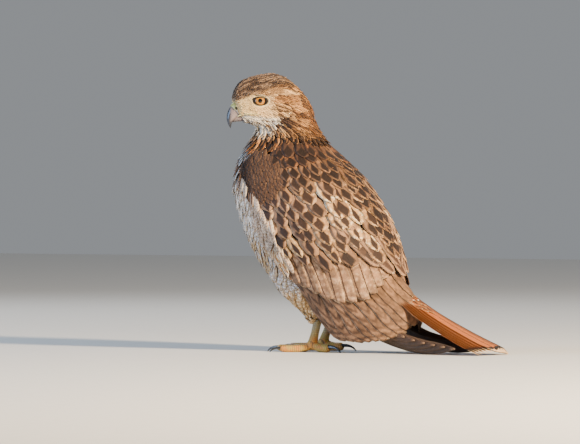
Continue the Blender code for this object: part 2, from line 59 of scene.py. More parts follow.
BENCH = np.array((eye_low + eye_high) / 2) / MM - HEAD_CENTRE - HEAD_TO_BENCH @ np.array([0, EYE_SIDE, 0])


def on_bench(points):
    """Places in metres in the frame for points in the maker's millimetres."""
    return (np.asarray(points, float) + BENCH) * MM


def from_bench(points):
    return np.asarray(points, float) / MM - BENCH


def from_head(points):
    """Bench places of points forward, left and up from between the eyes."""
    return HEAD_CENTRE + np.asarray(points, float) @ HEAD_TO_BENCH.T


def to_head(points):
    return (np.asarray(points, float) - HEAD_CENTRE) @ HEAD_TO_BENCH


# Camera, level with the bird's middle and a good way off, as in the photograph.
CAMERA_TURN = math.radians(123)
CAMERA_RISE = math.radians(0.6)
CAMERA_DISTANCE = 7.0
VIEW_WIDTH = 0.732
VIEW_RIGHT = -12.6
VIEW_HEIGHT = 162.8


def linked(name, data):
    """A new object of the scene."""
    made = bpy.data.objects.new(name, data)
    bpy.context.scene.collection.objects.link(made)
    return made


camera = bpy.data.cameras.new("camera")
camera.sensor_width = 36.0
camera.lens = camera.sensor_width * CAMERA_DISTANCE / VIEW_WIDTH
camera.clip_end = 50.0
camera_object = linked("camera", camera)
towards = Vector((math.sin(CAMERA_TURN), -math.cos(CAMERA_TURN), 0))
camera_back = towards * math.cos(CAMERA_RISE) + Vector((0, 0, math.sin(CAMERA_RISE)))
camera_right = Vector((math.cos(CAMERA_TURN), math.sin(CAMERA_TURN), 0))
view_middle = Vector(on_bench(np.array(camera_right) * VIEW_RIGHT + np.array([0, 0, VIEW_HEIGHT])))
camera_object.location = view_middle + camera_back * CAMERA_DISTANCE
camera_object.rotation_euler = (math.pi / 2 - CAMERA_RISE, 0, CAMERA_TURN)
bpy.context.scene.camera = camera_object

# Lights and floor: a warm key from the camera's right, a cool soft fill from its left and a faint
# light from behind, on a pale floor.
def soft_light(name, right, ahead, height, size, power, colour):
    """An area light at a place given from the bird by the camera's right and the way to the camera."""
    lamp = bpy.data.lights.new(name, "AREA")
    lamp.size = size
    lamp.energy = power
    lamp.color = colour
    made = linked(name, lamp)
    made.location = view_middle + camera_right * right + towards * ahead + Vector((0, 0, height))
    made.rotation_euler = (view_middle - made.location).to_track_quat("-Z", "Y").to_euler()


soft_light("key_light", 2.1, 2.3, 1.0, 0.35, 430, (1.0, 0.78, 0.52))
soft_light("fill_light", -2.4, 0.6, 0.5, 1.5, 66, (0.42, 0.64, 1.0))
soft_light("back_light", -0.6, -2.0, 1.6, 1.4, 20, (0.85, 0.92, 1.0))
world = bpy.data.worlds.new("studio")
world.use_nodes = True
world.node_tree.nodes["Background"].inputs["Color"].default_value = (0.86, 0.9, 0.95, 1)
world.node_tree.nodes["Background"].inputs["Strength"].default_value = 0.32
bpy.context.scene.world = world


class Surface:
    """A new material. Its methods add nodes and give back their values."""

    def __init__(self, name, roughness, specular=0.5, sheen=0.0, coat=0.0, coat_roughness=0.05):
        self.look = bpy.data.materials.new(name)
        self.look.use_nodes = True
        self.tree = self.look.node_tree
        self.shader = self.tree.nodes["Principled BSDF"].inputs
        self.shader["Roughness"].default_value = roughness
        self.shader["Specular IOR Level"].default_value = specular
        self.shader["Sheen Weight"].default_value = sheen
        self.shader["Sheen Roughness"].default_value = 0.4
        self.shader["Coat Weight"].default_value = coat
        self.shader["Coat Roughness"].default_value = coat_roughness

    def put(self, socket, value):
        """Fills a socket with another socket's value, a number or a colour."""
        if isinstance(value, bpy.types.NodeSocket):
            self.tree.links.new(value, socket)
        elif socket.type == "RGBA":
            socket.default_value = (*value, 1.0)
        else:
            socket.default_value = value

    def node(self, kind, sockets, **settings):
        """A new node's outputs."""
        made = self.tree.nodes.new("ShaderNode" + kind)
        for key, value in settings.items():
            setattr(made, key, value)
        for key, value in sockets.items():
            self.put(made.inputs[key], value)
        return made.outputs

    def math(self, operation, *values):
        return self.node("Math", dict(enumerate(values)), operation=operation)[0]

    def times(self, *values):
        return self.math("MULTIPLY", *values)

    def line(self, value, slope, start):
        return self.math("MULTIPLY_ADD", value, slope, start)

    def ramp(self, value, low, high):
        """0 below low, 1 above high and a soft step between."""
        sockets = {"Value": value, "From Min": low, "From Max": high}
        return self.node("MapRange", sockets, interpolation_type="SMOOTHSTEP")[0]

    def mix(self, share, first, second):
        return self.node("Mix", {0: share, 6: first, 7: second}, data_type="RGBA")[2]

    def places(self):
        """Object coordinates, in metres of the frame."""
        return self.node("TexCoord", {})["Object"]

    def noise(self, scale, detail=3.0):
        """A noise pattern's value, its scale in repeats to the metre."""
        sockets = {"Vector": self.places(), "Scale": scale, "Detail": detail, "Roughness": 0.55}
        return self.node("TexNoise", sockets)["Fac"]

    def attribute(self, name):
        return self.node("Attribute", {}, attribute_name=name)

    def paint(self, colour):
        self.put(self.shader["Base Color"], colour)

    def relief(self, height, depth, distance=0.001):
        sockets = {"Strength": depth, "Distance": distance, "Height": height}
        self.put(self.shader["Normal"], self.node("Bump", sockets)["Normal"])


def speckled(name, roughness, specular, scale, detail, dark, light, depth=0.0, distance=0.001, coat=0.0):
    """A material of two colours that a fine noise mixes, with relief by the same noise."""
    surface = Surface(name, roughness, specular, coat=coat)
    grain = surface.noise(scale, detail)
    surface.paint(surface.mix(grain, dark, light))
    if depth:
        surface.relief(grain, depth, distance)
    return surface.look


bpy.ops.mesh.primitive_plane_add(size=12, location=(0, 0, 0))
floor = bpy.context.object
floor.name = "floor"
floor.data.materials.append(speckled("pale_floor", 0.8, 0.5, 60, 4, (0.72, 0.72, 0.7), (0.8, 0.8, 0.78)))

# The skin under the feathers: one body of head, neck, trunk and thighs. It lies as deep under the
# outline as its coat is thick, and carries the same colours as the feathers over it. Two balls
# fill its eye sockets.
FLESH = ["head", "neck", "torso", "thigh_left", "thigh_right"]
SKIN_GRAIN = 0.0019
TRUNK_COAT = 4.6
HEAD_COAT = 3.0
FACE_COAT = 1.1
LEG_COAT = 3.0


def soft(value, low, high):
    """0 below low, 1 above high, smooth between. It may be given falling."""
    share = np.clip((np.asarray(value, float) - low) / (high - low), 0, 1)
    return share * share * (3 - 2 * share)


def along(stations, key):
    """The other values of a station list at each key, on a smooth curve through its stations."""
    table = np.array(stations, float)
    keys, values = table[:, 0], table[:, 1:]
    key = np.clip(np.asarray(key, float), keys[0], keys[-1])
    count = len(keys)
    i = np.clip(np.searchsorted(keys, key, "right") - 1, 0, count - 2)
    low, high = np.maximum(np.arange(count) - 1, 0), np.minimum(np.arange(count) + 1, count - 1)
    slopes = (values[high] - values[low]) / (keys[high] - keys[low])[:, None]
    span = (keys[i + 1] - keys[i])[..., None]
    t = (key - keys[i])[..., None] / span
    return (
        (2 * t**3 - 3 * t**2 + 1) * values[i]
        + (t**3 - 2 * t**2 + t) * span * slopes[i]
        + (3 * t**2 - 2 * t**3) * values[i + 1]
        + (t**3 - t**2) * span * slopes[i + 1]
    )


# Trunk outline: height, front and back edge along Y
TRUNK = [
    (27, 54, 80), (56, 5, 110), (85, -29, 123), (125, -62, 128), (154, -76, 120), (182, -85, 106),
    (208, -88, 89), (235, -85.5, 64), (264, -72.5, 37), (300, -56, 14), (318, -48, 2),
]


def frontness(points):
    """1 on the breast's middle, 0 at the sides and -1 at the back."""
    edges = along(TRUNK, points[:, 2])
    middle, half = edges.mean(axis=1), (edges[:, 1] - edges[:, 0]) / 2
    return np.clip((middle - points[:, 1]) / half, -1, 1)


def coat_depth(points):
    """How far the feathers lift the outline over the skin."""
    face = soft(to_head(points)[:, 0], -10, 22) * soft(points[:, 2], 285, 300)
    on_head = soft(points[:, 2], 262, 300)
    on_leg = soft(points[:, 2], 110, 60) * soft(np.abs(points[:, 0]), 18, 30)
    depth = TRUNK_COAT * (1 - on_head) + HEAD_COAT * on_head
    depth = depth * (1 - face) + FACE_COAT * face
    return depth * (1 - on_leg) + LEG_COAT * on_leg


def copy_of(node, name):
    """A copy of a CAD node as a mesh of its own, its doubled corners merged."""
    made = linked(name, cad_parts[node].data.copy())
    shape = bmesh.new()
    shape.from_mesh(made.data)
    bmesh.ops.remove_doubles(shape, verts=shape.verts, dist=0.00001)
    shape.to_mesh(made.data)
    shape.free()
    made.data.materials.clear()
    return made


def pick(*things):
    """Selects only these objects, the last of them active."""
    bpy.ops.object.select_all(action="DESELECT")
    for thing in things:
        thing.select_set(True)
    bpy.context.view_layer.objects.active = things[-1]


def apply_all(thing):
    pick(thing)
    for change in list(thing.modifiers):
        bpy.ops.object.modifier_apply(modifier=change.name)


def in_edit_mode(thing, change, **settings):
    """Makes one change to all the faces of a mesh."""
    pick(thing)
    bpy.ops.object.mode_set(mode="EDIT")
    bpy.ops.mesh.select_all(action="SELECT")
    change(**settings)
    bpy.ops.object.mode_set(mode="OBJECT")


def values_of(items, title, width, kind=float):
    """One value of every corner, loop or triangle of a mesh as rows."""
    flat = np.zeros(len(items) * width, kind)
    items.foreach_get(title, flat)
    return flat.reshape(-1, width)


def corners_of(thing):
    """The mesh's corners in bench millimetres."""
    return from_bench(values_of(thing.data.vertices, "co", 3))


skin = [copy_of(node, "skin") for node in (*FLESH, "eye_left", "eye_right")]
pick(*skin)
bpy.ops.object.join()
skin = bpy.context.object
skin.name = "skin"
remesh = skin.modifiers.new("one_body", "REMESH")
remesh.mode = "VOXEL"
remesh.voxel_size = SKIN_GRAIN
smooth = skin.modifiers.new("soften", "SMOOTH")
smooth.factor = 0.5
smooth.iterations = 6
apply_all(skin)
skin_points = corners_of(skin)
sunk = skin_points - values_of(skin.data.vertices, "normal", 3) * coat_depth(skin_points)[:, None]
skin.data.vertices.foreach_set("co", on_bench(sunk).ravel())
skin.data.update()
smooth = skin.modifiers.new("settle", "SMOOTH")
smooth.iterations = 2
apply_all(skin)
in_edit_mode(skin, bpy.ops.uv.smart_project, angle_limit=math.radians(66), island_margin=0.004)
skin.data.uv_layers[0].name = "OFBake"
bpy.ops.object.shade_smooth()
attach(skin, "root")
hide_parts(*FLESH)

# Colours of the plumage by place. Each feather has a web, an edge and a mark down its shaft, and
# takes them from its root's place: brown above, rufous on the neck, pale and streaked below.
DARK = (0.02, 0.011, 0.008)
BROWN = (0.07, 0.034, 0.02)
MID_BROWN = (0.17, 0.082, 0.041)
RUFOUS = (0.34, 0.12, 0.034)
ORANGE_BUFF = (0.62, 0.27, 0.08)
BUFF = (0.66, 0.38, 0.16)
CREAM = (0.82, 0.6, 0.33)
PALE_CREAM = (0.92, 0.7, 0.42)
WHITE = (0.82, 0.77, 0.69)
COOL_WHITE = (0.68, 0.68, 0.68)
BILL_ROOT = np.array([26.0, 0.0, -8.0])
CAP_EDGE = [(-60, 44), (-30, 31), (-15, 22), (-2, 14), (9, 9), (22, 3.5), (34, -3.6)]


class Looks:
    """The colours and marks of a set of feathers, one row for each. The habit is the width of a
    feather's rim, how strong its bars are, the width of its shaft streak and how strong its mottling is."""

    def __init__(self, count, web, edge, mark, rim, bars, streak, mottle=0.0):
        rows = (web, edge, mark, (rim, bars, streak, mottle))
        rows = [np.tile(np.array(row, float), (count, 1)) for row in rows]
        self.web, self.edge, self.mark, self.habit = rows

    def lay(self, share, web, edge, mark, rim, bars, streak, mottle=0.0):
        """Blends other looks in by a share for each feather."""
        share = np.asarray(share)[:, None]
        rows = (web, edge, mark, (rim, bars, streak, mottle))
        for old, new in zip((self.web, self.edge, self.mark, self.habit), rows):
            old += share * (np.array(new) - old)

    def tone(self, shares, *titles):
        """Makes the named colours lighter or darker by a share for each feather."""
        for title in titles:
            rows = getattr(self, title)
            rows *= shares[:, None]


def read(table, key):
    """A table's value at a key, on straight lines between its rows."""
    return np.interp(key, *np.array(table, float).T)


stripe_chances = np.random.default_rng(3).random((97, 61))


def stripes(across, way):
    """Drawn-out patches of 0 to 1, one step across wide and one step long."""
    i, j = np.floor(across).astype(int), np.floor(way).astype(int)
    a, b = soft(across - i, 0, 1), soft(way - j, 0, 1)
    value = 0
    for di, share_i in ((0, 1 - a), (1, a)):
        for dj, share_j in ((0, 1 - b), (1, b)):
            value = value + share_i * share_j * stripe_chances[(i + di) % 97, (j + dj) % 61]
    return value


def markings(points, chance):
    """The looks of the feathers rooted at these bench places. chance is a random number for each."""
    x, y, z = points.T
    forward, left, up = to_head(points).T
    front = frontness(points)
    breast = soft(front, 0.1, 0.65)
    around_bill = np.degrees(np.arctan2(up - BILL_ROOT[2], left))
    flow = stripes(around_bill / 3.0 + 50, forward / 11 + 10)
    around_neck = np.degrees(np.arctan2(x, along(TRUNK, z).mean(axis=1) - y))
    body_flow = stripes(around_neck / 5 + 50, z / 22)
    looks = Looks(len(z), WHITE, WHITE, RUFOUS, 0.25, 0.1, 0.05)
    lay = looks.lay

    # Breast, belly, legs and under the tail
    lay(soft(body_flow + 0.4 * (chance - 0.5), 0.66, 0.76), WHITE, WHITE, RUFOUS, 0.25, 0.1, 0.4)
    lay(soft(z, 200, 150) * (1 - breast * 0.6), COOL_WHITE, WHITE, MID_BROWN, 0.2, 0.75, 0.12)
    band = soft(z, 105, 125) * soft(z, 172, 150) * breast
    lay(band * soft(chance, 0.3, 0.6), CREAM, WHITE, BROWN, 0.2, 0.25, 0.5)
    lay(soft(z, 100, 84) * soft(np.abs(x), 14, 24), CREAM, CREAM, RUFOUS, 0.2, 0.6, 0.1)
    lay(soft(z, 120, 95) * soft(y, 60, 90), WHITE, WHITE, MID_BROWN, 0.2, 0.15, 0.05)

    # Neck, and the back under the wings
    neck = soft(z, 222, 240)
    white_from = 0.2 + 0.5 * soft(z, 252, 274)
    neck_front = neck * soft(front, white_from, white_from + 0.25)
    dark_neck = soft(body_flow + 0.5 * (chance - 0.5), 0.42, 0.56)
    lay(neck, RUFOUS, ORANGE_BUFF, BROWN, 0.2, 0.0, 0.5)
    lay(neck * dark_neck, BROWN, ORANGE_BUFF, DARK, 0.12, 0.0, 0.7)
    lay(neck * soft(body_flow, 0.3, 0.2), ORANGE_BUFF, CREAM, RUFOUS, 0.2, 0.0, 0.3)
    lay(neck_front, COOL_WHITE, WHITE, BROWN, 0.3, 0.0, 0.22)
    streaked = neck_front * soft(body_flow, 0.6, 0.7) * soft(front, 1, 0.7)
    lay(streaked, RUFOUS, WHITE, BROWN, 0.2, 0.0, 0.4)
    back = soft(front, -0.15, -0.5) * soft(z, 100, 125)
    lay(back, BROWN, MID_BROWN, DARK, 0.25, 0.0, 0.6)
    lay(back * soft(z, 240, 262), BROWN, ORANGE_BUFF, DARK, 0.2, 0.0, 0.6)

    # Head: its side, the dark cap down to its edge, and the nape
    on_head = soft(z, 272, 292) * soft(forward, -80, -60)
    dark_one = soft(flow + 0.2 * (chance - 0.5), 0.44, 0.54)
    lay(on_head, (0.72, 0.35, 0.12), (0.84, 0.5, 0.2), BROWN, 0.3, 0.0, 0.36)
    lay(on_head * dark_one * 0.85, (0.22, 0.085, 0.03), ORANGE_BUFF, DARK, 0.2, 0.0, 0.66)
    top = on_head * soft(up + 0.25 * forward, 14, 20)
    lay(top, (0.42, 0.23, 0.11), (0.7, 0.44, 0.22), DARK, 0.3, 0.0, 0.42)
    lay(top * dark_one * 0.8, (0.09, 0.045, 0.023), BUFF, DARK, 0.18, 0.0, 0.66)
    over_cap_edge = up - read(CAP_EDGE, forward)
    crown = on_head * soft(over_cap_edge, -2, 3) * soft(forward, -40, -12)
    lay(crown, (0.4, 0.25, 0.155), (0.66, 0.45, 0.28), DARK, 0.25, 0.0, 0.42)
    lay(crown * dark_one * 0.85, (0.07, 0.039, 0.026), (0.42, 0.25, 0.14), DARK, 0.18, 0.0, 0.66)
    lay(on_head * soft(forward, -44, -60), (0.38, 0.14, 0.042), (0.74, 0.38, 0.13), DARK, 0.22, 0.0, 0.55)

    # Face: the pale patch over the ear, the streak behind the eye, the cheek, lore, throat and moustache
    pale = on_head * soft(np.hypot((forward + 17) / 21, (up - 13 + 0.1 * (forward + 18)) / 5), 1.15, 0.75)
    lay(pale * (1 - 0.6 * dark_one), (0.92, 0.56, 0.25), (0.94, 0.68, 0.38), MID_BROWN, 0.3, 0.0, 0.26)
    behind_eye = on_head * soft(np.hypot((forward + 24) / 16, (up - 4.5) / 3.6), 1.2, 0.7)
    lay(behind_eye, (0.56, 0.25, 0.08), (0.74, 0.42, 0.16), BROWN, 0.3, 0.0, 0.4)
    cheek = on_head * soft(up, 0, -8) * soft(forward, -34, -20)
    lay(cheek * (1 - 0.7 * dark_one), (0.9, 0.59, 0.29), PALE_CREAM, BROWN, 0.3, 0.0, 0.3)
    under_cap = np.maximum(over_cap_edge, up - 7)
    face = on_head * soft(forward, -16, -7) * soft(under_cap, 1, -2)
    lay(face, (0.86, 0.59, 0.3), PALE_CREAM, (0.4, 0.24, 0.12), 0.3, 0.0, 0.2)
    lore = on_head * soft(forward, 6, 12) * soft(over_cap_edge, 1, -2)
    lay(lore, (0.9, 0.65, 0.3), (0.95, 0.76, 0.42), MID_BROWN, 0.25, 0.0, 0.14)
    throat = soft(up, -16, -19) * soft(forward + 0.25 * (up + 20), -19, -11) * soft(z, 274, 284)
    lay(throat, (0.95, 0.86, 0.72), (0.95, 0.9, 0.8), BROWN, 0.3, 0.0, 0.18)
    lay(throat * soft(flow, 0.66, 0.76), MID_BROWN, CREAM, BROWN, 0.2, 0.0, 0.4)
    malar = on_head * soft(np.hypot((forward + 20 + 0.4 * (up + 24)) / 7.5, (up + 24) / 10), 1.25, 0.75)
    lay(malar * (0.4 + 0.6 * dark_one), BROWN, MID_BROWN, DARK, 0.3, 0.0, 0.6)
    return looks


down = Surface("down", 0.95, 0.2, 0.3)
fluff = down.noise(700, 4)
web = down.attribute("web")["Color"]
down.paint(down.mix(down.ramp(fluff, 0.35, 0.65), down.mix(0.55, web, (0, 0, 0)), web))
down.relief(fluff, 0.8)
skin.data.materials.append(down.look)
skin_looks = markings(corners_of(skin), np.full(len(skin.data.vertices), 0.5))
skin_tone = skin_looks.web * 0.75 + skin_looks.mark * 0.25
skin_paint = skin.data.color_attributes.new("web", "FLOAT_COLOR", "POINT")
skin_paint.data.foreach_set("color", np.column_stack([skin_tone, np.ones(len(skin_tone))]).ravel())


def plumage(
    name, barbs, bar_count, roughness=0.7, gloss=0.2, drop=False, ragged=0.3, deep=0.35, band=None, cloudy=0.0
):
    """A feather material. It reads the vane's own map: across from edge to edge and up from root to tip.

    The mark is a streak down the shaft, or a drop that widens towards the tip. A band is the mark's
    colour across the vane between two shares of its length, with the edge's colour past it. ragged
    is how frayed the marks are, deep how dark the shade between barbs is and cloudy that of clouds.
    """
    s = Surface(name, roughness, gloss, 0.04)
    across, up, _ = s.node("SeparateXYZ", {0: s.node("UVMap", {}, uv_map="vane")[0]})
    habits = s.attribute("habit")
    rim, bars, streak = s.node("SeparateColor", {0: habits["Color"]})
    fray = s.line(s.noise(900, 2), ragged, -0.5 * ragged)
    side = s.math("ABSOLUTE", s.line(across, 2.0, -1.0))
    frayed_side = s.math("ADD", side, fray)
    rise = s.math("ADD", up, s.times(fray, 0.35))
    web, mark, edge = (s.attribute(title)["Color"] for title in ("web", "mark", "edge"))

    # Bars, mottling, and the mark down the shaft
    wave = s.math("SINE", s.times(s.line(side, 0.09, rise), bar_count * 2 * math.pi))
    colour = s.mix(s.times(s.ramp(wave, -0.1, 0.5), bars), web, mark)
    mottle = s.ramp(s.noise(220), 0.48, 0.62)
    colour = s.mix(s.times(mottle, habits["Alpha"]), colour, edge)
    if drop:
        past = s.math("DIVIDE", s.math("SUBTRACT", rise, 0.7), 0.34)
        narrow = s.times(streak, s.math("SUBTRACT", 1.15, s.math("ABSOLUTE", past)))
        narrow = s.math("MAXIMUM", narrow, 0.06)
        shaft = s.ramp(frayed_side, s.times(narrow, 1.15), s.times(narrow, 0.55))
    else:
        narrow = s.times(streak, s.line(rise, -0.35, 1.2))
        shaft = s.ramp(frayed_side, narrow, s.times(narrow, 0.45))
    colour = s.mix(s.times(shaft, s.ramp(streak, 0.02, 0.08)), colour, mark)

    # Rims, worn in places
    start = s.math("SUBTRACT", 1.0, rim)
    at_side = s.ramp(frayed_side, start, s.line(rim, 0.45, start))
    tip_start = s.line(rim, -0.45, 1.0)
    at_tip = s.ramp(rise, tip_start, s.line(rim, 0.2, tip_start))
    worn = s.line(s.ramp(s.noise(150), 0.4, 0.6), 0.75, 0.25)
    colour = s.mix(s.times(s.math("MAXIMUM", at_side, at_tip), worn), colour, edge)
    if band:
        start, end = band
        high = s.line(s.noise(300), 0.03, s.line(side, 0.012, up))
        high = s.math("SUBTRACT", high, 0.015)
        in_band = s.times(s.ramp(high, start, start + 0.006), s.ramp(high, end + 0.006, end))
        colour = s.mix(in_band, colour, mark)
        colour = s.mix(s.ramp(high, end, end + 0.006), colour, edge)

    # Barbs and shade
    lines = s.math("SINE", s.times(s.line(side, -0.3, up), barbs * 2 * math.pi))
    shade = s.ramp(s.line(s.noise(240), 1.6, s.times(lines, 0.12)), 0.35, 1.25)
    colour = s.mix(shade, s.mix(deep, colour, (0, 0, 0)), colour)
    if cloudy:
        cloud = s.ramp(s.noise(90, 4), 0.38, 0.62)
        colour = s.mix(cloud, s.mix(cloudy, colour, (0, 0, 0)), colour)
    s.paint(colour)
    quill = s.ramp(side, 0.07, 0.0)
    s.relief(s.math("ADD", s.times(lines, 0.25), quill), 0.5, 0.0004)
    return s.look


def vane_mesh(name, top, under, flip, looks, look, corners=None, size=None):
    """Feathers as one mesh. top and under hold each vane's upper and lower face as rows of points in
    bench millimetres, feather by row by column by XYZ, and the two share their edge.

    corners and size say where each feather's map lies on the mesh's map, by default each in a cell.
    """
    if flip:
        top, under = top[:, :, ::-1], under[:, :, ::-1]
    count, rows, columns = top.shape[:3]
    if corners is None:
        cells = math.ceil(math.sqrt(count))
        corners = np.array([[(i % cells + 0.05) / cells, (i // cells + 0.05) / cells] for i in range(count)])
        size = 0.9 / cells
    inner = np.zeros((rows, columns), bool)
    inner[1:-1, 1:-1] = True
    grid = np.arange(rows * columns).reshape(rows, columns)
    lower = grid.copy()
    lower[inner] = rows * columns + np.arange(inner.sum())
    quads = []
    for g, turned in ((grid, False), (lower, True)):
        a, b, c, d = g[:-1, :-1], g[:-1, 1:], g[1:, 1:], g[1:, :-1]
        order = (a, d, c, b) if turned else (a, b, c, d)
        quads.append(np.stack([v.ravel() for v in order], axis=1))
    quads = np.concatenate(quads)
    per = rows * columns + int(inner.sum())
    points = np.concatenate([top.reshape(count, -1, 3), under[:, inner]], axis=1).reshape(-1, 3)
    loops = (quads.ravel()[None, :] + (np.arange(count) * per)[:, None]).ravel()
    mesh = bpy.data.meshes.new(name)
    mesh.vertices.add(len(points))
    mesh.vertices.foreach_set("co", on_bench(points).ravel())
    mesh.loops.add(len(loops))
    mesh.loops.foreach_set("vertex_index", loops)
    mesh.polygons.add(len(loops) // 4)
    mesh.polygons.foreach_set("loop_start", np.arange(0, len(loops), 4))
    mesh.update(calc_edges=True)
    share_up, share_across = np.meshgrid(np.linspace(0, 1, rows), np.linspace(0, 1, columns), indexing="ij")
    flat = np.column_stack([share_across.ravel(), share_up.ravel()])
    at = np.concatenate([flat, flat[inner.ravel()]])[quads.ravel()]
    mesh.uv_layers.new(name="vane").data.foreach_set("uv", np.tile(at, (count, 1)).ravel())
    spread = corners[:, None, :] + at[None, :, :] * size
    mesh.uv_layers.new(name="OFBake").data.foreach_set("uv", spread.ravel())
    for title in ("web", "edge", "mark", "habit"):
        values = getattr(looks, title)
        if title != "habit":
            values = np.column_stack([values, np.ones(count)])
        paint = mesh.color_attributes.new(title, "FLOAT_COLOR", "POINT")
        paint.data.foreach_set("color", np.repeat(values, per, axis=0).ravel())
    mesh.polygons.foreach_set("use_smooth", np.ones(len(loops) // 4, bool))
    made = linked(name, mesh)
    mesh.materials.append(look)
    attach(made, "root")
    return made


# Small feathers of head, neck, trunk and thighs. Each grows from the skin, follows the lie of the
# coat and bends with the body, and overlaps those behind it like a shingle.
chances = np.random.default_rng(7)
skin_tree = BVHTree.FromPolygons(
    [Vector(p) for p in corners_of(skin)], [tuple(face.vertices) for face in skin.data.polygons]
)
skin.data.calc_loop_triangles()
triangles = corners_of(skin)[values_of(skin.data.loop_triangles, "vertices", 3, int)]
skin_map = values_of(skin.data.uv_layers["OFBake"].data, "uv", 2)
triangle_map = skin_map[values_of(skin.data.loop_triangles, "loops", 3, int)]
facing = np.cross(triangles[:, 1] - triangles[:, 0], triangles[:, 2] - triangles[:, 0])
triangle_area = np.linalg.norm(facing, axis=1) / 2


def roots_on_skin(where, spacing, draws):
    """Evenly spread places on the skin where `where` allows them, no closer than spacing(points)."""
    weight = triangle_area * where(triangles.mean(axis=1))
    chosen = chances.choice(len(weight), draws, p=weight / weight.sum())
    a, b = chances.random((2, draws))
    flip = a + b > 1
    a[flip], b[flip] = 1 - a[flip], 1 - b[flip]
    share = np.column_stack([1 - a - b, a, b])[:, :, None]
    points = (triangles[chosen] * share).sum(axis=1)
    maps = (triangle_map[chosen] * share).sum(axis=1)
    gaps = spacing(points)
    boxes, kept = {}, []
    keys = np.floor(points / gaps.max()).astype(int)
    for i in range(draws):
        kx, ky, kz = keys[i]
        near = [
            j
            for dx in (-1, 0, 1) for dy in (-1, 0, 1) for dz in (-1, 0, 1)
            for j in boxes.get((kx + dx, ky + dy, kz + dz), ())
        ]
        if near:
            gap = points[near] - points[i]
            if ((gap * gap).sum(axis=1) < gaps[i] ** 2).any():
                continue
        boxes.setdefault((kx, ky, kz), []).append(i)
        kept.append(i)
    return points[kept], maps[kept]


def lie(points):
    """The way the feathers point: back from the bill over the head, then down the body."""
    head = to_head(points)
    away = (head - BILL_ROOT) @ HEAD_TO_BENCH.T
    away /= np.linalg.norm(away, axis=1)[:, None]
    away[:, 2] -= 0.35
    x, y, z = points.T
    backward = 0.12 + 0.75 * soft(z, 150, 70) * soft(np.abs(x), 60, 0)
    down_body = np.column_stack([np.zeros(len(z)), backward, -np.ones(len(z))])
    on_head = (soft(z, 262, 292) * soft(head[:, 0], -78, -40))[:, None]
    way = away * on_head + down_body * (1 - on_head)
    return way / np.linalg.norm(way, axis=1)[:, None]


VANE_ROWS = np.array([0.0, 0.22, 0.45, 0.7, 0.88, 1.0])
VANE_WIDTHS = np.array([0.35, 0.8, 1.0, 0.98, 0.72, 0.16])
VANE_COLUMNS = np.array([-1.0, 0.0, 1.0])
VANE_THICKNESS = 0.25


def body_feathers(name, roots, maps, length, half_width, lift, ragged, look, cling=0.9):
    """Lays one feather from each root along the coat. cling is how closely it follows the skin."""
    count, rows = len(roots), len(VANE_ROWS)
    chance = chances.random((count, 5))
    cling = np.broadcast_to(cling, count)
    length = length * (0.85 + 0.3 * chance[:, 0])
    half_width = half_width * (0.85 + 0.3 * chance[:, 1])
    middle, normal, ahead = (np.zeros((count, rows, 3)) for _ in range(3))
    way = lie(roots) + (chances.random((count, 3)) - 0.5) * ragged
    for i in range(count):
        place, heading = Vector(roots[i]), Vector(way[i])
        face = skin_tree.find_nearest(place)[1]
        heading = (heading - face * heading.dot(face)).normalized()
        for row in range(rows):
            if row:
                step = (VANE_ROWS[row] - VANE_ROWS[row - 1]) * length[i]
                aim = place + heading * step
                spot, face, _, _ = skin_tree.find_nearest(aim)
                place = aim.lerp(spot, cling[i])
                heading = (heading - face * heading.dot(face)).normalized()
            middle[i, row], normal[i, row], ahead[i, row] = place, face, heading
    across = np.cross(ahead, normal)
    height = -0.5 + (lift * (0.75 + 0.5 * chance[:, 2]))[:, None] * VANE_ROWS**0.8
    bend = ((chance[:, 3] - 0.5) * 0.5 * half_width)[:, None] * VANE_ROWS**2
    reach = half_width[:, None] * VANE_WIDTHS
    out = reach[:, :, None] * VANE_COLUMNS + bend[:, :, None]
    rise = height[:, :, None] - 0.16 * reach[:, :, None] * VANE_COLUMNS**2
    top = middle[:, :, None] + across[:, :, None] * out[..., None] + normal[:, :, None] * rise[..., None]
    under = top - normal[:, :, None] * VANE_THICKNESS
    looks = markings(roots, chance[:, 4])
    looks.tone(0.82 + 0.36 * chance[:, 4], "web", "edge", "mark")
    return vane_mesh(name, top, under, True, looks, look, maps - 0.0015, 0.003)


# Outline of the folded wings over the body: height, middle along Y, half width, half depth
CLOAK = [
    (2, 114, 46, 74), (15, 108, 50, 80), (37, 98, 57, 95), (54, 87, 62, 103), (66, 80, 66, 97),
    (85, 67, 71, 95), (112, 50, 79, 98), (139, 34, 87, 101), (169, 20, 90, 99.5), (194, 8, 89, 94),
    (222, -4, 80, 83), (249, -16, 60, 66), (279, -19, 36, 44),
]
# The wing's edges towards the back and the front, as angles from the mid back, by height
WING_EDGES = [
    (92, 12, 105), (130, 8, 106), (155, 8, 107), (180, 15, 112), (200, 24, 121), (212, 33, 125),
    (235, 55, 125), (248, 80, 112),
]
# Half length, half height and middle of the bare skin round the eye, and the line of the gape
EYE_CLEAR = (10.9, 7.6)
EYE_CLEAR_MIDDLE = 1.1
GAPE_START = (17, -17.6)
GAPE_SLOPE = 0.12
GAPE_HALF_WIDTH = 1.5


def covered(points):
    """True where the folded wing hides the skin."""
    x, y, z = points.T
    edges = along(WING_EDGES, z)
    centre, half_width, depth = along(CLOAK, z).T
    turn = np.degrees(np.arctan2(np.abs(x) / half_width, (y - centre) / depth))
    return (turn > edges[:, 0] + 10) & (turn < edges[:, 1] - 9) & (z > 98) & (z < 226)


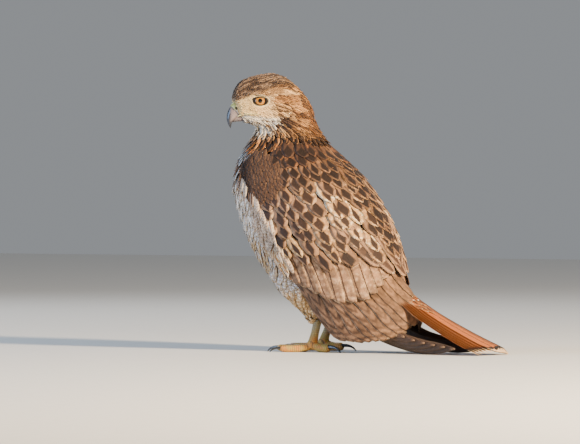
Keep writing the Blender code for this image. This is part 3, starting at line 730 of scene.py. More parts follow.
def on_the_head(points):
    """All the head but the eye openings, the bill and the line of the gape."""
    forward, left, up = to_head(points).T
    from_eye = np.hypot((forward - EYE_CLEAR_MIDDLE) / EYE_CLEAR[0], up / EYE_CLEAR[1])
    off_eye = (from_eye > 1) | (np.abs(left) < 10)
    off_bill = forward < 25.5 + 7 * soft(up, -7, -2)
    gape = GAPE_START[1] + GAPE_SLOPE * (forward - GAPE_START[0])
    off_gape = (forward < 12) | (np.abs(up - gape) > GAPE_HALF_WIDTH)
    return off_eye & off_bill & off_gape & (points[:, 2] > 283)


def on_the_neck(points):
    return (points[:, 2] <= 287) & (points[:, 2] > 222) & ~covered(points)


def on_the_trunk(points):
    x, y, z = points.T
    leg = (z < 100) & (np.abs(x) > 16) & (y < 75)
    return (z <= 224) & ~leg & ~covered(points)


def on_the_legs(points):
    x, y, z = points.T
    return (z < 104) & (np.abs(x) > 14) & (y < 78)


head_look = plumage("head_feathers", 9, 3, 0.75, ragged=0.16, deep=0.3)
roots, maps = roots_on_skin(on_the_head, lambda p: 1.3 + 1.35 * soft(to_head(p)[:, 0], 12, -36), 80000)
forward, left, up = to_head(roots).T
from_eye = np.hypot((forward + 1) / 1.3, up)
size = (6.5 + 11.0 * soft(forward, 16, -30) + 5.0 * soft(up, -15, -28)) * (1 - 0.45 * soft(from_eye, 17, 9))
lift = np.maximum(1.1, (1.1 + 2.2 * soft(forward, 22, -20)) * soft(from_eye, 6, 16))
half_width = 0.9 + 1.25 * soft(forward, 12, -34)
body_feathers("head_feathers", roots, maps, size, half_width, lift, 0.22, head_look)

neck_look = plumage("neck_feathers", 16, 4, 0.75, ragged=0.2, deep=0.4)
roots, maps = roots_on_skin(on_the_neck, lambda p: 3.2 + 2.8 * soft(p[:, 2], 284, 235), 12000)
height = roots[:, 2]
size = 17 + 8 * soft(height, 285, 235)
half_width = 2.2 + 3.0 * soft(height, 285, 240)
lift = 4.6 + 2.2 * soft(height, 262, 240)
body_feathers("neck_feathers", roots, maps, size, half_width, lift, 0.34, neck_look)

breast_look = plumage("breast_feathers", 12, 6, 0.85, ragged=0.4, deep=0.2)
roots, maps = roots_on_skin(on_the_trunk, lambda p: np.full(len(p), 5.0), 24000)
body_feathers("breast_feathers", roots, maps, 26, 4.2, 4.2, 0.3, breast_look)

roots, maps = roots_on_skin(on_the_legs, lambda p: 3.2 + 1.6 * soft(p[:, 2], 60, 95), 12000)
size = 17 + 7 * soft(roots[:, 2], 45, 90)
cling = 0.3 + 0.6 * soft(roots[:, 2], 52, 66)
body_feathers("leg_feathers", roots, maps, size, 0.18 * size, 3.2, 0.3, breast_look, cling)

# Folded wings. Each has a bed of skin and muscle, and tiers of feathers over it like slates:
# secondaries, greater and median coverts, rows of small coverts, and the scapulars of the shoulder.
SIDES = ((1, "left"), (-1, "right"))

# The room between the wings' outline and the skin near the wings' front edge, by height and angle
ROLL_LEVELS = np.arange(120, 256, 5.0)
ROLL_TURNS = np.arange(96, 133, 3.0)
room = np.zeros((len(ROLL_LEVELS), len(ROLL_TURNS)))
for i, z in enumerate(ROLL_LEVELS):
    centre, half_width, depth = along(CLOAK, z)
    for j, turn in enumerate(np.radians(ROLL_TURNS)):
        out = Vector((half_width * math.sin(turn), depth * math.cos(turn), 0))
        axis = Vector((0, centre, z))
        spot = skin_tree.ray_cast(axis + out * 1.3, -out.normalized())[0]
        room[i, j] = out.length - (spot - axis).length


def over_skin(z, angle):
    """How far the wings' outline stands over the skin, at a height and an angle near their front."""
    i = np.clip((z - ROLL_LEVELS[0]) / 5, 0, len(ROLL_LEVELS) - 1.001)
    j = np.clip((angle - ROLL_TURNS[0]) / 3, 0, len(ROLL_TURNS) - 1.001)
    a, b = i.astype(int), j.astype(int)
    low = room[a, b] * (1 - j + b) + room[a, b + 1] * (j - b)
    high = room[a + 1, b] * (1 - j + b) + room[a + 1, b + 1] * (j - b)
    return low * (1 - i + a) + high * (i - a)


# How much further forward the right wing's outline lies, by height
RIGHT_WING_SHIFT = [(20, 17), (60, 14), (100, 5), (150, 0), (280, 0)]


def cloak(z, angle, lift, side):
    """Points on the outline of the folded wings, 0 degrees at the mid back and 90 at the side.

    The front edge rolls down onto the breast.
    """
    centre, half_width, depth = np.moveaxis(along(CLOAK, z), -1, 0)
    if side < 0:
        centre = centre - along(RIGHT_WING_SHIFT, z)[..., 0]
    turn = np.radians(angle)
    front = along(WING_EDGES, z)[..., 1]
    upper = soft(z, 120, 138)
    rolled = soft(angle, front - 9, front + 3) * np.maximum(0, over_skin(z, angle) - 3.0)
    lift = lift - upper * rolled - (1 - upper) * 0.045 * np.maximum(0, angle - 105) ** 2
    across = side * (half_width + lift) * np.sin(turn)
    return np.stack([across, centre + (depth + lift) * np.cos(turn), z + 0 * lift], axis=-1)


# How deep the bed lies under the outline, by height
WING_CORE = [
    (92, -9.5), (104, -8), (117, -6.2), (135, -4.6), (155, -2.6), (175, -2.0), (205, -1.8), (235, -1.6),
    (248, -2),
]
WING_LEVELS = np.array([246, 240, 232, 220, 205, 190, 172, 155, 137, 117, 100, 92], float)
WING_BED_THICKNESS = 3.0
bed_look = speckled("wing_bed", 0.95, 0.2, 500, 4, DARK, BROWN, 0.8)


def wing_bed(side, word):
    shares = np.linspace(0, 1, 15)
    edges = along(WING_EDGES, WING_LEVELS)
    angle = edges[:, :1] * (1 - shares) + edges[:, 1:] * shares
    z = np.repeat(WING_LEVELS[:, None], len(shares), axis=1)
    lift = along(WING_CORE, z)[..., 0] - 4.0 * (2 * shares - 1) ** 6
    top = cloak(z, angle, lift, side)[None]
    under = cloak(z, angle, lift - WING_BED_THICKNESS, side)[None]
    looks = Looks(1, BROWN, BROWN, DARK, 0.2, 0, 0.2)
    corner = np.array([[0.02, 0.02]])
    return vane_mesh("wing_bed_" + word, top, under, side > 0, looks, bed_look, corner, 0.96)


# Rows from root to tip and columns from edge to edge of long and of scale-like feathers, with their
# half width at each row as a share of the broadest
LONG_ROWS = np.linspace(0, 1, 16)
LONG_OUTLINE = [(0, 0.45), (0.15, 0.72), (0.42, 0.93), (0.82, 1.0), (0.93, 0.88), (0.97, 0.66), (1.0, 0.22)]
LONG_WIDTHS = read(LONG_OUTLINE, LONG_ROWS)
LONG_COLUMNS = np.linspace(-1, 1, 7)
SCALE_ROWS = np.linspace(0, 1, 9)
SCALE_OUTLINE = [(0, 0.45), (0.25, 0.85), (0.6, 1.0), (0.82, 0.78), (0.93, 0.46), (1, 0.1)]
SCALE_WIDTHS = read(SCALE_OUTLINE, SCALE_ROWS)
SCALE_COLUMNS = np.linspace(-1, 1, 5)


def on_wing(paths, half, side, lifts, tilt, rise, rows, widths, columns, camber=0.5, shift=0.0):
    """Upper and lower faces of vanes laid on the folded wing along their middle lines of angle and height.

    tilt lifts the edge towards the front, rise lifts each whole feather from root to tip, and
    shift moves the vane by a share of its half width towards the back.
    """
    angle, z = paths[..., 0], paths[..., 1]
    half_width, depth = np.moveaxis(along(CLOAK, z), -1, 0)[1:]
    turn = np.radians(angle)
    stride = np.hypot(half_width * np.cos(turn), depth * np.sin(turn)) * math.pi / 180
    go = np.gradient(angle, axis=1) * stride, np.gradient(z, axis=1)
    size = np.hypot(*go)
    side_step = go[1] / size, -go[0] / size
    half = half[:, None]
    out = (half * widths)[..., None] * columns + (shift * half * np.minimum(1, rows * 3))[..., None]
    vane_angle = angle[..., None] + out * (side_step[0] / stride)[..., None]
    vane_z = np.maximum(z[..., None] + out * side_step[1][..., None], 1.0)
    lift = along(lifts, vane_z)[..., 0] - tilt * columns * widths[None, :, None]
    lift = lift + rise[..., None] - camber * columns**2
    return cloak(vane_z, vane_angle, lift + 0.25, side), cloak(vane_z, vane_angle, lift - 0.2, side)


# Lower edges of the secondaries from the front one to the tertials by the back: angle and height
SECONDARY_EDGES = [
    [(112, 125), (114, 86), (111, 50), (110, 26), (103, 16.5), (91, 13.6)],
    [(104, 125), (104.5, 80), (103.5, 50), (104.5, 28), (96, 17), (82, 12.4)],
    [(96, 125), (93.5, 74), (94.5, 53), (97.5, 29), (88, 16), (73.5, 11.6)],
    [(90, 125), (87.5, 68), (86.5, 48), (87, 28), (78.5, 16.5), (67, 11.7)],
    [(84, 125), (81.5, 63), (79, 40), (76, 25), (67.6, 16), (60.5, 11.9)],
    [(80, 125), (78, 58), (71.7, 36.6), (66, 23), (58.5, 16), (52.4, 13.2)],
    [(70, 125), (68, 64), (63.7, 34.5), (53, 21.5), (47.5, 18), (43.5, 17)],
    [(60, 125), (58.2, 62), (55, 38.7), (46, 27.4), (41, 22), (37.5, 19.2)],
    [(51, 125), (49.5, 64), (46, 45), (40, 33.5), (34, 28.5), (29, 27)],
    [(44, 125), (41.7, 67), (38, 48), (31.5, 38.5), (26, 35), (19, 33.5)],
    [(36, 125), (33, 80), (30, 62), (24, 49), (19, 42.5), (12, 37)],
    [(28, 125), (25, 92), (21, 74), (15, 62), (11, 56), (5, 52)],
    [(18, 125), (15, 104), (12, 90), (8, 80), (5, 74), (1, 68)],
]
SECONDARY_LIFT = [(10, -1.2), (35, -1.7), (60, -3.7), (100, -5.8), (112, -7.5), (128, -9.5)]

# Back edges of the greater coverts, from the front
GREATER_EDGES = [
    [(104, 138), (106, 118), (109, 100), (112, 88)],
    [(96, 138), (97, 122), (99.5, 104), (103, 84)],
    [(86, 138), (88, 120), (91, 102), (96.5, 79)],
    [(79, 138), (80.5, 120), (83, 100), (89, 71.5)],
    [(72, 138), (73.5, 118), (76, 98), (82.5, 64.5)],
    [(60, 138), (62.5, 116), (66.5, 92), (76, 59.5)],
    [(51, 138), (53.5, 116), (57.5, 92), (66, 60.5)],
    [(43, 138), (44.5, 116), (47.5, 92), (54, 64)],
    [(34, 138), (35.5, 118), (38, 98), (43, 72)],
    [(26, 138), (27, 122), (29, 104), (32, 82)],
    [(18, 138), (18.5, 124), (20, 110), (22, 92)],
]
GREATER_LIFT = [(55, 0.2), (85, -0.2), (105, -1.8), (130, -2.4), (140, -4.0)]

# Middle lines of the long shoulder feathers, which end over the tertials
SHOULDER_LINES = [
    [(46, 176), (41, 150), (33, 127), (26, 109)],
    [(36, 178), (30, 148), (21.5, 118), (14, 100)],
    [(22, 182), (14, 152), (7, 126), (2, 108)],
    [(10, 170), (5, 150), (1, 132), (-2, 118)],
    [(14, 150), (9, 130), (4, 112), (0, 97)],
]
SHOULDER_LIFT = [(95, 2.2), (115, 1.6), (150, 0.4), (182, -1.5)]

# Where the scale-like feathers of wing and shoulder end: angle and height of the lowest tips
SCALES_END = [
    (-8, 128), (0, 122), (7, 118), (14, 116), (22, 116), (30, 116), (37, 112), (45, 111), (57, 108),
    (65, 106), (73, 105), (81, 107), (88, 111), (94, 116), (99, 128), (106, 150), (118, 182),
]
SCALES_LIFT = [(100, 1.2), (130, 1.0), (160, 0.2), (185, -0.4), (248, -0.6), (262, -2.0), (275, -4)]
# Their gaps and how much narrower they get by height, their breadths by angle, and the top and the
# front of their tract
SCALE_GAPS = [(110, 14.5), (180, 14), (215, 11.5), (250, 9)]
SCALE_NARROWING = [(110, 1), (180, 1), (215, 0.85), (250, 0.7)]
SCALE_BREADTHS = [(20, 19), (55, 17), (75, 14)]
SCALES_TOP = [(0, 244), (40, 250), (80, 242)]
SCALES_FRONT = [(110, 97), (150, 100), (190, 113), (212, 121), (235, 121), (248, 108)]

wing_look = plumage("wing_feathers", 46, 9, 0.65, ragged=0.22, deep=0.3, cloudy=0.45)
covert_look = plumage("wing_coverts", 26, 4, 0.65, 0.25, True)
LIGHT_BROWN = (0.36, 0.2, 0.115)
GOLD_BUFF = (0.58, 0.33, 0.14)
PALE_EDGE = (0.84, 0.6, 0.38)
HEART = (0.038, 0.019, 0.012)


def long_feathers(title, word, side, stations, half, lifts, tilt, shift, look, colours):
    """Flight feathers and their like, each on a smooth middle line through its own stations."""
    paths = []
    for points in np.array(stations, float):
        step = np.hypot(np.diff(points[:, 0]) * 1.6, np.diff(points[:, 1]))
        gone = np.concatenate([[0], np.cumsum(step)])
        paths.append(along(np.column_stack([gone, points]), LONG_ROWS * gone[-1]))
    paths, count = np.array(paths), len(stations)
    rise = np.zeros(paths.shape[:2])
    top, under = on_wing(
        paths, np.full(count, half), side, lifts, tilt, rise, LONG_ROWS, LONG_WIDTHS, LONG_COLUMNS, 0.4, shift
    )
    looks = Looks(count, *colours)
    looks.tone(0.86 + 0.28 * chances.random(count), "web")
    looks.habit[:, 1] *= np.linspace(1, 0.25, count)
    return vane_mesh(f"{title}_{word}", top, under, side > 0, looks, look)


def scale_rows(front_limit, back_limit, end, top_at, gap_at, wide_at):
    """Scale-like feathers in staggered rows: the angle and height of each tip, its gap and width."""
    found = []
    level, row = 0.0, 0
    while level < 170:
        angle = back_limit + (row % 2) * 4.0
        while angle < front_limit:
            z = read(end, angle) + level
            wide = wide_at(angle, z)
            if z < top_at(angle):
                found.append((angle, z, gap_at(z), wide))
            angle += math.degrees(wide / along(CLOAK, min(z, 270))[1])
        level += gap_at(read(end, 60) + level)
        row += 1
    return np.array(found)


def scale_feathers(title, word, side, found, rise_from, rise_to, paint, look, lean=0.0, extra=2.15):
    """Short feathers with their tips at the places found, each a little out of line."""
    angle, z, gap, wide = found.T
    count = len(found)
    angle = angle + chances.uniform(-0.34, 0.34, count) * np.degrees(wide / 90)
    z = z + chances.uniform(-0.34, 0.34, count) * gap
    length = gap * extra * chances.uniform(0.9, 1.15, count)
    half = wide * chances.uniform(0.6, 0.84, count)
    turn = chances.uniform(-1, 1, count) * 3.6 + lean
    share = SCALE_ROWS[None, :]
    radius = along(CLOAK, np.clip(z, 90, 270))[:, 1]
    swing = np.degrees(turn[:, None] * (1 - share) * (gap / 12)[:, None] / radius[:, None])
    paths = np.stack([angle[:, None] + swing, z[:, None] + length[:, None] * (1 - share)], axis=-1)
    rise = rise_from + (rise_to - rise_from) * share**0.8 + chances.uniform(-0.25, 0.25, count)[:, None]
    top, under = on_wing(
        paths, half, side, SCALES_LIFT, 0.35, rise, SCALE_ROWS, SCALE_WIDTHS, SCALE_COLUMNS, 0.7
    )
    looks = paint(angle, z, count)
    looks.tone(0.84 + 0.32 * chances.random(count), "web", "mark")
    return vane_mesh(f"{title}_{word}", top, under, side > 0, looks, look)


def paint_scales(angle, z, count):
    """Brown with dark centres and pale edges; gold and cream where the shoulder is mottled."""
    looks = Looks(count, (0.22, 0.115, 0.06), GOLD_BUFF, DARK, 0.09, 0.0, 0.72)
    looks.lay(chances.random(count), LIGHT_BROWN, PALE_EDGE, HEART, 0.08, 0.0, 0.7)
    pick_light = chances.random(count)
    upper = soft(z, 182, 215)
    looks.lay(upper, (0.2, 0.1, 0.05), (0.5, 0.27, 0.13), DARK, 0.08, 0.0, 0.82)
    looks.lay(upper * soft(z, 218, 236), BROWN, RUFOUS, DARK, 0.1, 0.0, 0.85)
    gold = soft(pick_light, 0.35, 0.7) * soft(angle, 78, 62) * soft(z, 212, 190)
    looks.lay(gold * 0.9, (0.46, 0.24, 0.1), PALE_EDGE, HEART, 0.08, 0.0, 0.62, 0.5)
    band = soft(np.abs(angle - 31 - 0.1 * (z - 150)), 15, 6) * soft(z, 200, 186) * soft(z, 118, 132)
    looks.lay(band * soft(pick_light, 0.25, 0.5), GOLD_BUFF, (0.92, 0.78, 0.56), HEART, 0.09, 0.0, 0.5, 0.9)
    looks.lay(soft(angle, 12, 2), MID_BROWN, BUFF, DARK, 0.08, 0.1, 0.8)
    front = soft(angle, 76, 86) * soft(z, 150, 135)
    looks.lay(front * soft(pick_light, 0.3, 0.6), GOLD_BUFF, CREAM, HEART, 0.1, 0.0, 0.5, 0.8)
    looks.habit[:, 2] *= chances.uniform(0.7, 1.15, count)
    looks.habit[:, 3] = np.maximum(looks.habit[:, 3], 0.6 * soft(chances.random(count), 0.5, 0.8))
    return looks


def paint_marginal(angle, z, count):
    looks = Looks(count, (0.11, 0.06, 0.036), (0.16, 0.09, 0.053), BROWN, 0.2, 0.0, 0.3)
    looks.lay(soft(angle, 100, 114), BROWN, MID_BROWN, DARK, 0.2, 0.0, 0.8)
    return looks


def in_marginal(angle, z):
    """The plain patch at the wing's bend, where the feathers are smallest."""
    return np.hypot((angle - 99) / 28, (z - 215 - 0.15 * (94 - angle)) / 33) < 1


for side, word in SIDES:
    bed = wing_bed(side, word)
    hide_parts("wing_" + word)
    long_feathers("secondaries", word, side, SECONDARY_EDGES, 9.0, SECONDARY_LIFT, 0.65, 0.9, wing_look,
                  ((0.3, 0.16, 0.086), PALE_EDGE, BROWN, 0.07, 0.85, 0.0, 0.0))
    long_feathers("greater_coverts", word, side, GREATER_EDGES, 11.5, GREATER_LIFT, -0.6, -0.8, wing_look,
                  ((0.37, 0.205, 0.115), PALE_EDGE, BROWN, 0.06, 0.4, 0.1, 0.3))
    long_feathers("shoulder_feathers", word, side, SHOULDER_LINES, 10.0, SHOULDER_LIFT, 0.7, 0.0, covert_look,
                  (LIGHT_BROWN, PALE_EDGE, BROWN, 0.07, 0.0, 0.8))
    found = scale_rows(
        118, -6, SCALES_END, lambda angle: read(SCALES_TOP, angle), lambda z: read(SCALE_GAPS, z),
        lambda angle, z: read(SCALE_NARROWING, z) * read(SCALE_BREADTHS, angle),
    )
    found = found[~in_marginal(found[:, 0], found[:, 1] + 4)]
    found = found[found[:, 0] < read(SCALES_FRONT, found[:, 1])]
    scale_feathers("scale_coverts", word, side, found, -2.4, 1.5, paint_scales, covert_look)
    found = scale_rows(
        127, 62, [(60, 180), (130, 180)], lambda angle: 252, lambda z: 3.6, lambda angle, z: 5.0
    )
    found = found[in_marginal(found[:, 0], found[:, 1])]
    scale_feathers("marginal_coverts", word, side, found, -0.2, 1.0, paint_marginal, breast_look, 0.0, 2.4)

# Flank feathers: pale and finely barred, soft tufts that come from the breast and lie over the
# wing's front edge.
flank_look = plumage("flank_feathers", 14, 7, 0.8, ragged=0.4, deep=0.25)

# Angle and height of their lowest tips, and the back and the front of their tract by height
FLANK_END = [(90, 112), (96, 104), (104, 98), (125, 90)]
FLANK_BACK = [(92, 103), (110, 97), (150, 95), (180, 103), (200, 114), (214, 120)]
FLANK_FRONT = [(150, 124), (185, 121), (214, 126)]


def paint_flank(angle, z, count):
    looks = Looks(count, (0.54, 0.41, 0.31), (0.72, 0.6, 0.48), MID_BROWN, 0.2, 0.65, 0.0)
    streaky = chances.random(count)
    looks.lay(soft(streaky, 0.55, 0.75), (0.72, 0.62, 0.5), WHITE, RUFOUS, 0.2, 0.3, 0.2)
    low = soft(z, 128, 110) * soft(chances.random(count), 0.4, 0.6)
    looks.lay(low, CREAM, WHITE, (0.3, 0.12, 0.04), 0.2, 0.2, 0.7)
    high = soft(z, 165, 190)
    looks.lay(high, (0.62, 0.52, 0.43), (0.76, 0.68, 0.58), MID_BROWN, 0.2, 0.2, 0.14)
    looks.lay(high * soft(streaky, 0.62, 0.7), MID_BROWN, CREAM, DARK, 0.2, 0.0, 0.5)
    return looks


for side, word in SIDES:
    found = scale_rows(126, 92, FLANK_END, lambda angle: 214, lambda z: 7.5, lambda angle, z: 5.5)
    angle, z = found[:, 0], found[:, 1]
    found = found[(angle > read(FLANK_BACK, z)) & (angle < read(FLANK_FRONT, z))]
    scale_feathers("flank_feathers", word, side, found, -1.2, 3.2, paint_flank, flank_look, -5.0, 3.4)

# Primaries: the long hand feathers, folded flat together and showing beyond the secondaries. They
# lie back to the floor.
PRIMARY_COUNT = 6
PRIMARY_ROOT = 60
PRIMARY_TIPS = (178, 258)
PRIMARY_HALF_WIDTH = 8.6
PRIMARY_TAPER = 42
# How far each primary lies out from and over the next, which reaches further back
PRIMARY_STEP_OUT = 1.45
PRIMARY_STEP_UP = 2.3
# Their lower edge: place along Y, way out from the middle, and height
PRIMARY_LINE = [
    (60, 64, 96), (85, 54.5, 62), (108, 46, 37), (135, 37, 18), (165, 31, 6.5), (195, 36, 1.4),
    (225, 43, 0.2), (258, 51, -0.25),
]
primary_look = plumage("primary_feathers", 60, 7, 0.5, 0.3, ragged=0.12)
for side, word in SIDES:
    tops, unders = [], []
    for j, tip_y in enumerate(np.linspace(*PRIMARY_TIPS, PRIMARY_COUNT)):
        over_others = PRIMARY_COUNT - 1 - j
        y = PRIMARY_ROOT + (tip_y - PRIMARY_ROOT) * np.linspace(0, 1, 18)
        x, low = along(PRIMARY_LINE, y).T
        half = PRIMARY_HALF_WIDTH * np.clip((tip_y - y) / PRIMARY_TAPER, 0.03, 1) ** 0.6
        rise = PRIMARY_STEP_UP * over_others * np.clip((y - 50) / 60, 0, 1)
        middle = low + PRIMARY_HALF_WIDTH + rise * (1 - 0.2 * np.clip((y - 60) / 100, 0, 1))
        x = x + PRIMARY_STEP_OUT * (over_others - (PRIMARY_COUNT - 1) / 2)
        height = np.maximum(middle[:, None] + LONG_COLUMNS * half[:, None], 0.4)
        for face, group in ((0.35, tops), (-0.2, unders)):
            out = side * (x[:, None] + face - 0.5 * LONG_COLUMNS**2)
            group.append(np.stack([out, y[:, None] + 0 * height, height], axis=-1))
    looks = Looks(PRIMARY_COUNT, (0.1, 0.055, 0.034), (0.22, 0.13, 0.08), DARK, 0.06, 0.35, 0.0)
    looks.tone(np.linspace(1.0, 0.5, PRIMARY_COUNT), "web", "edge")
    vane_mesh("primaries_" + word, np.array(tops), np.array(unders), side < 0, looks, primary_look)

# Tail: twelve broad feathers that lie over one another from the middle out, and the coverts round
# its root. It is laid down to the floor.
TAIL_ROOT = np.array([0.0, 99.0, 112.0])
TAIL_LENGTH = 224.0
TAIL_SHORTENING = 1.5
TAIL_SLOPES = (38.0, 20.0)
TAIL_RUFOUS = (0.47, 0.135, 0.028)
# How far out each pair of tail feathers lies at its tip, and their half width by share of length
TAIL_PLACES = (5.5, 14.5, 21.5, 27, 31.5, 35)
TAIL_WIDTHS = [(0.06, 3.5), (0.32, 7.7), (0.65, 11), (0.93, 12), (0.975, 9.0), (1.0, 3.5)]


def tail_slope(share):
    return np.radians(TAIL_SLOPES[0] + (TAIL_SLOPES[1] - TAIL_SLOPES[0]) * share)


tail_steps = np.linspace(0, 1.05, 211)
tail_stride = TAIL_LENGTH * (tail_steps[1] - tail_steps[0])
step_slopes = tail_slope(tail_steps[:-1])
tail_y = TAIL_ROOT[1] + np.concatenate([[0], np.cumsum(np.cos(step_slopes) * tail_stride)])
tail_z = TAIL_ROOT[2] - np.concatenate([[0], np.cumsum(np.sin(step_slopes) * tail_stride)])


def tail_point(distance, across, lift):
    """Points over the tail's middle line."""
    share = distance / TAIL_LENGTH
    slope = tail_slope(share)
    y = np.interp(share, tail_steps, tail_y)
    z = np.interp(share, tail_steps, tail_z)
    return np.stack([across + 0 * y, y + np.sin(slope) * lift, z + np.cos(slope) * lift], axis=-1)


tops, unders = [], []
for number, place in enumerate(TAIL_PLACES):
    for side, word in SIDES:
        rank = 2 * number + (side < 0)
        share = np.linspace(0.06, 1, 20)[:, None]
        spread = 0.32 + 0.68 * share
        across = side * place * spread + LONG_COLUMNS * read(TAIL_WIDTHS, share)
        arch = 0.9 * (np.sqrt((across / (6 * spread)) ** 2 + 1.5) - 1.2)
        lift = arch - rank * np.minimum(1, 0.35 + 1.3 * share)
        length = TAIL_LENGTH - TAIL_SHORTENING * number
        distance = length * share - 3.5 * LONG_COLUMNS**2 * share**14
        tops.append(tail_point(distance, across, lift + 0.3))
        unders.append(tail_point(distance, across, lift - 0.25))
tail_look = plumage("tail_feathers", 60, 9, 0.6, 0.25, ragged=0.12, band=(0.925, 0.958))
looks = Looks(12, TAIL_RUFOUS, (0.8, 0.55, 0.33), DARK, 0.06, 0.0, 0.05)
looks.tone(np.linspace(1.1, 0.75, 12), "web")
tail = vane_mesh("tail_feathers", np.array(tops), np.array(unders), False, looks, tail_look)
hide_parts("tail")

# Tail coverts, soft rows over and under the root of the tail: distance from it, half width, and the
# height of the arch above and below
COVERT_SHAPE = [
    (2, 20, 7, 18), (30, 21, 7, 20), (60, 19, 6, 16), (90, 14, 4, 9), (110, 8, 2.5, 5), (118, 3, 1.5, 3),
]
COVERT_LENGTH = 34
COVERT_HALF_WIDTH = 6.6


def tail_coverts(name, up, look):
    """Rows of feathers on the arch of the coverts: above the tail where up is 1, below where it is -1."""
    tops, unders, tips = [], [], []
    share = SCALE_ROWS[:, None]
    reach = SCALE_COLUMNS * COVERT_HALF_WIDTH * SCALE_WIDTHS[:, None]
    for row, tip in enumerate(np.arange(114, 12, -8.0)):
        half_row = along(COVERT_SHAPE, min(tip, 108))[0]
        count = max(2, int(half_row * 2 / 8))
        for k in range(count):
            middle = (k + 0.5 + 0.5 * (row % 2) - count / 2) * (2 * half_row / count) * 0.92
            middle += chances.uniform(-1, 1)
            length = COVERT_LENGTH * chances.uniform(0.85, 1.1)
            distance = tip + chances.uniform(-2, 2) - length * (1 - share) + 0 * SCALE_COLUMNS
            across = middle * (0.85 + 0.15 * share) + reach
            half, over, below = np.moveaxis(along(COVERT_SHAPE, distance), -1, 0)
            arch = np.sqrt(np.clip(1 - (across / (half + 4)) ** 2, 0.02, 1))
            height = (over if up > 0 else below) * arch - 1.6 + 2.0 * share - 0.6 * SCALE_COLUMNS**2
            tops.append(tail_point(distance, across, up * (height + 0.25)))
            unders.append(tail_point(distance, across, up * (height - 0.2)))
            tips.append(tip)
    if up > 0:
        looks = Looks(len(tips), RUFOUS, CREAM, BROWN, 0.12, 0.3, 0.45)
        looks.lay(soft(tips, 60, 30), BROWN, BUFF, DARK, 0.12, 0.2, 0.7)
        looks.lay(soft(chances.random(len(tips)), 0.6, 0.8), TAIL_RUFOUS, WHITE, DARK, 0.2, 0.5, 0.3)
    else:
        looks = Looks(len(tips), (0.8, 0.72, 0.6), WHITE, RUFOUS, 0.2, 0.25, 0.05)
    return vane_mesh(name, np.array(tops), np.array(unders), up < 0, looks, look)


tail_coverts("upper_tail_coverts", 1, covert_look)
tail_coverts("under_tail_coverts", -1, breast_look)

# Eyes: balls with an amber iris and a black pupil under a clear cornea, in dark-rimmed lids, each
# under a brow ridge that shades it. The ridge's lower edge is painted near-black as shade, and the
# lids' black upper rim is drawn wide so that it also stands partly for that shade.
EYE_RADIUS = 9.5
PUPIL = (0.29, 0.33)
IRIS_RING = (0.5, 0.7)
IRIS_EDGE = (0.66, 0.72)
IRIS_DARK = (0.17, 0.06, 0.006)
IRIS_LIGHT = (0.56, 0.26, 0.04)
# The lids' opening: how far its middle lies ahead of the ball's, its half length, top and bottom
LIDS_AHEAD = 0.4
LIDS_HALF_LENGTH = 8.5
LIDS_TOP = 4.4
LIDS_BOTTOM = 5.6
BROW_HEIGHT = 6.9
BROW_MIDDLE = 2.0
BROW_HALF_LENGTH = 11.0
# The bare skin's half length and half height, and its rings: share of the way out from the lids,
# and how proud it stands
SKIRT = (12.4, 9.0)
SKIRT_RINGS = [
    (0.05, -0.2), (0.2, 0.25), (0.4, 0.25), (0.6, 0.15), (0.85, 0), (1, -0.4), (1, -1.6), (0.5, -1.4),
    (0, -0.9),
]


def along_head(surface, forward, left, up):
    """A shader value: the place along a direction of the head, in millimetres from between the eyes."""
    way = HEAD_TO_BENCH @ np.array([forward, left, up], float)
    middle = tuple(on_bench(HEAD_CENTRE))
    from_eyes = surface.node("VectorMath", {0: surface.places(), 1: middle}, operation="SUBTRACT")[0]
    return surface.node("VectorMath", {0: from_eyes, 1: tuple(way / MM)}, operation="DOT_PRODUCT")["Value"]


def primitive(name, add, **settings):
    """A named Blender primitive."""
    bpy.ops.object.select_all(action="DESELECT")
    add(**settings)
    bpy.context.object.name = name
    return bpy.context.object


def reshaped(thing, place_of):
    """Moves each corner of a primitive from x, y, z to a place forward, left and up on the head."""
    for corner in thing.data.vertices:
        corner.co = Vector(on_bench(from_head(place_of(*corner.co))))


def outward(thing):
    """Turns the faces of a closed mesh outwards."""
    in_edit_mode(thing, bpy.ops.mesh.normals_make_consistent, inside=False)


def settle(thing, look, slot, *nodes):
    """Gives a finished piece its material, its body and the nodes it stands for. The slot is not used."""
    pick(thing)
    bpy.ops.object.transform_apply(location=True, rotation=True, scale=True)
    bpy.ops.object.shade_smooth()
    thing.data.materials.append(look)
    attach(thing, "root")
    if nodes:
        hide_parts(*nodes)
    return thing


def eye_opening(around):
    """The middle of the lids' rim at an angle round the eye: forward and up from the eye's middle."""
    ahead, rise = LIDS_HALF_LENGTH * math.cos(around), abs(math.sin(around))
    if around > 0:
        return ahead, LIDS_TOP * rise**0.72 + 0.04 * ahead
    return ahead, -LIDS_BOTTOM * rise**0.95 + 0.016 * ahead


def on_face(forward, up, side, proud=0.0):
    """The place on the side of the face at a forward and up measure, a little proud of the skin."""
    start = Vector(from_head([forward, side * 60.0, up]))
    way = Vector(HEAD_TO_BENCH @ np.array([0.0, -side, 0.0]))
    spot = skin_tree.ray_cast(start, way)[0]
    return np.array(spot) - np.array(way) * proud


def past_ball(ahead, rise, side):
    """How far the face stands out past the eyeball's middle, at a place in the lids' opening."""
    return to_head(on_face(ahead + LIDS_AHEAD, rise, side))[1] * side - EYE_SIDE


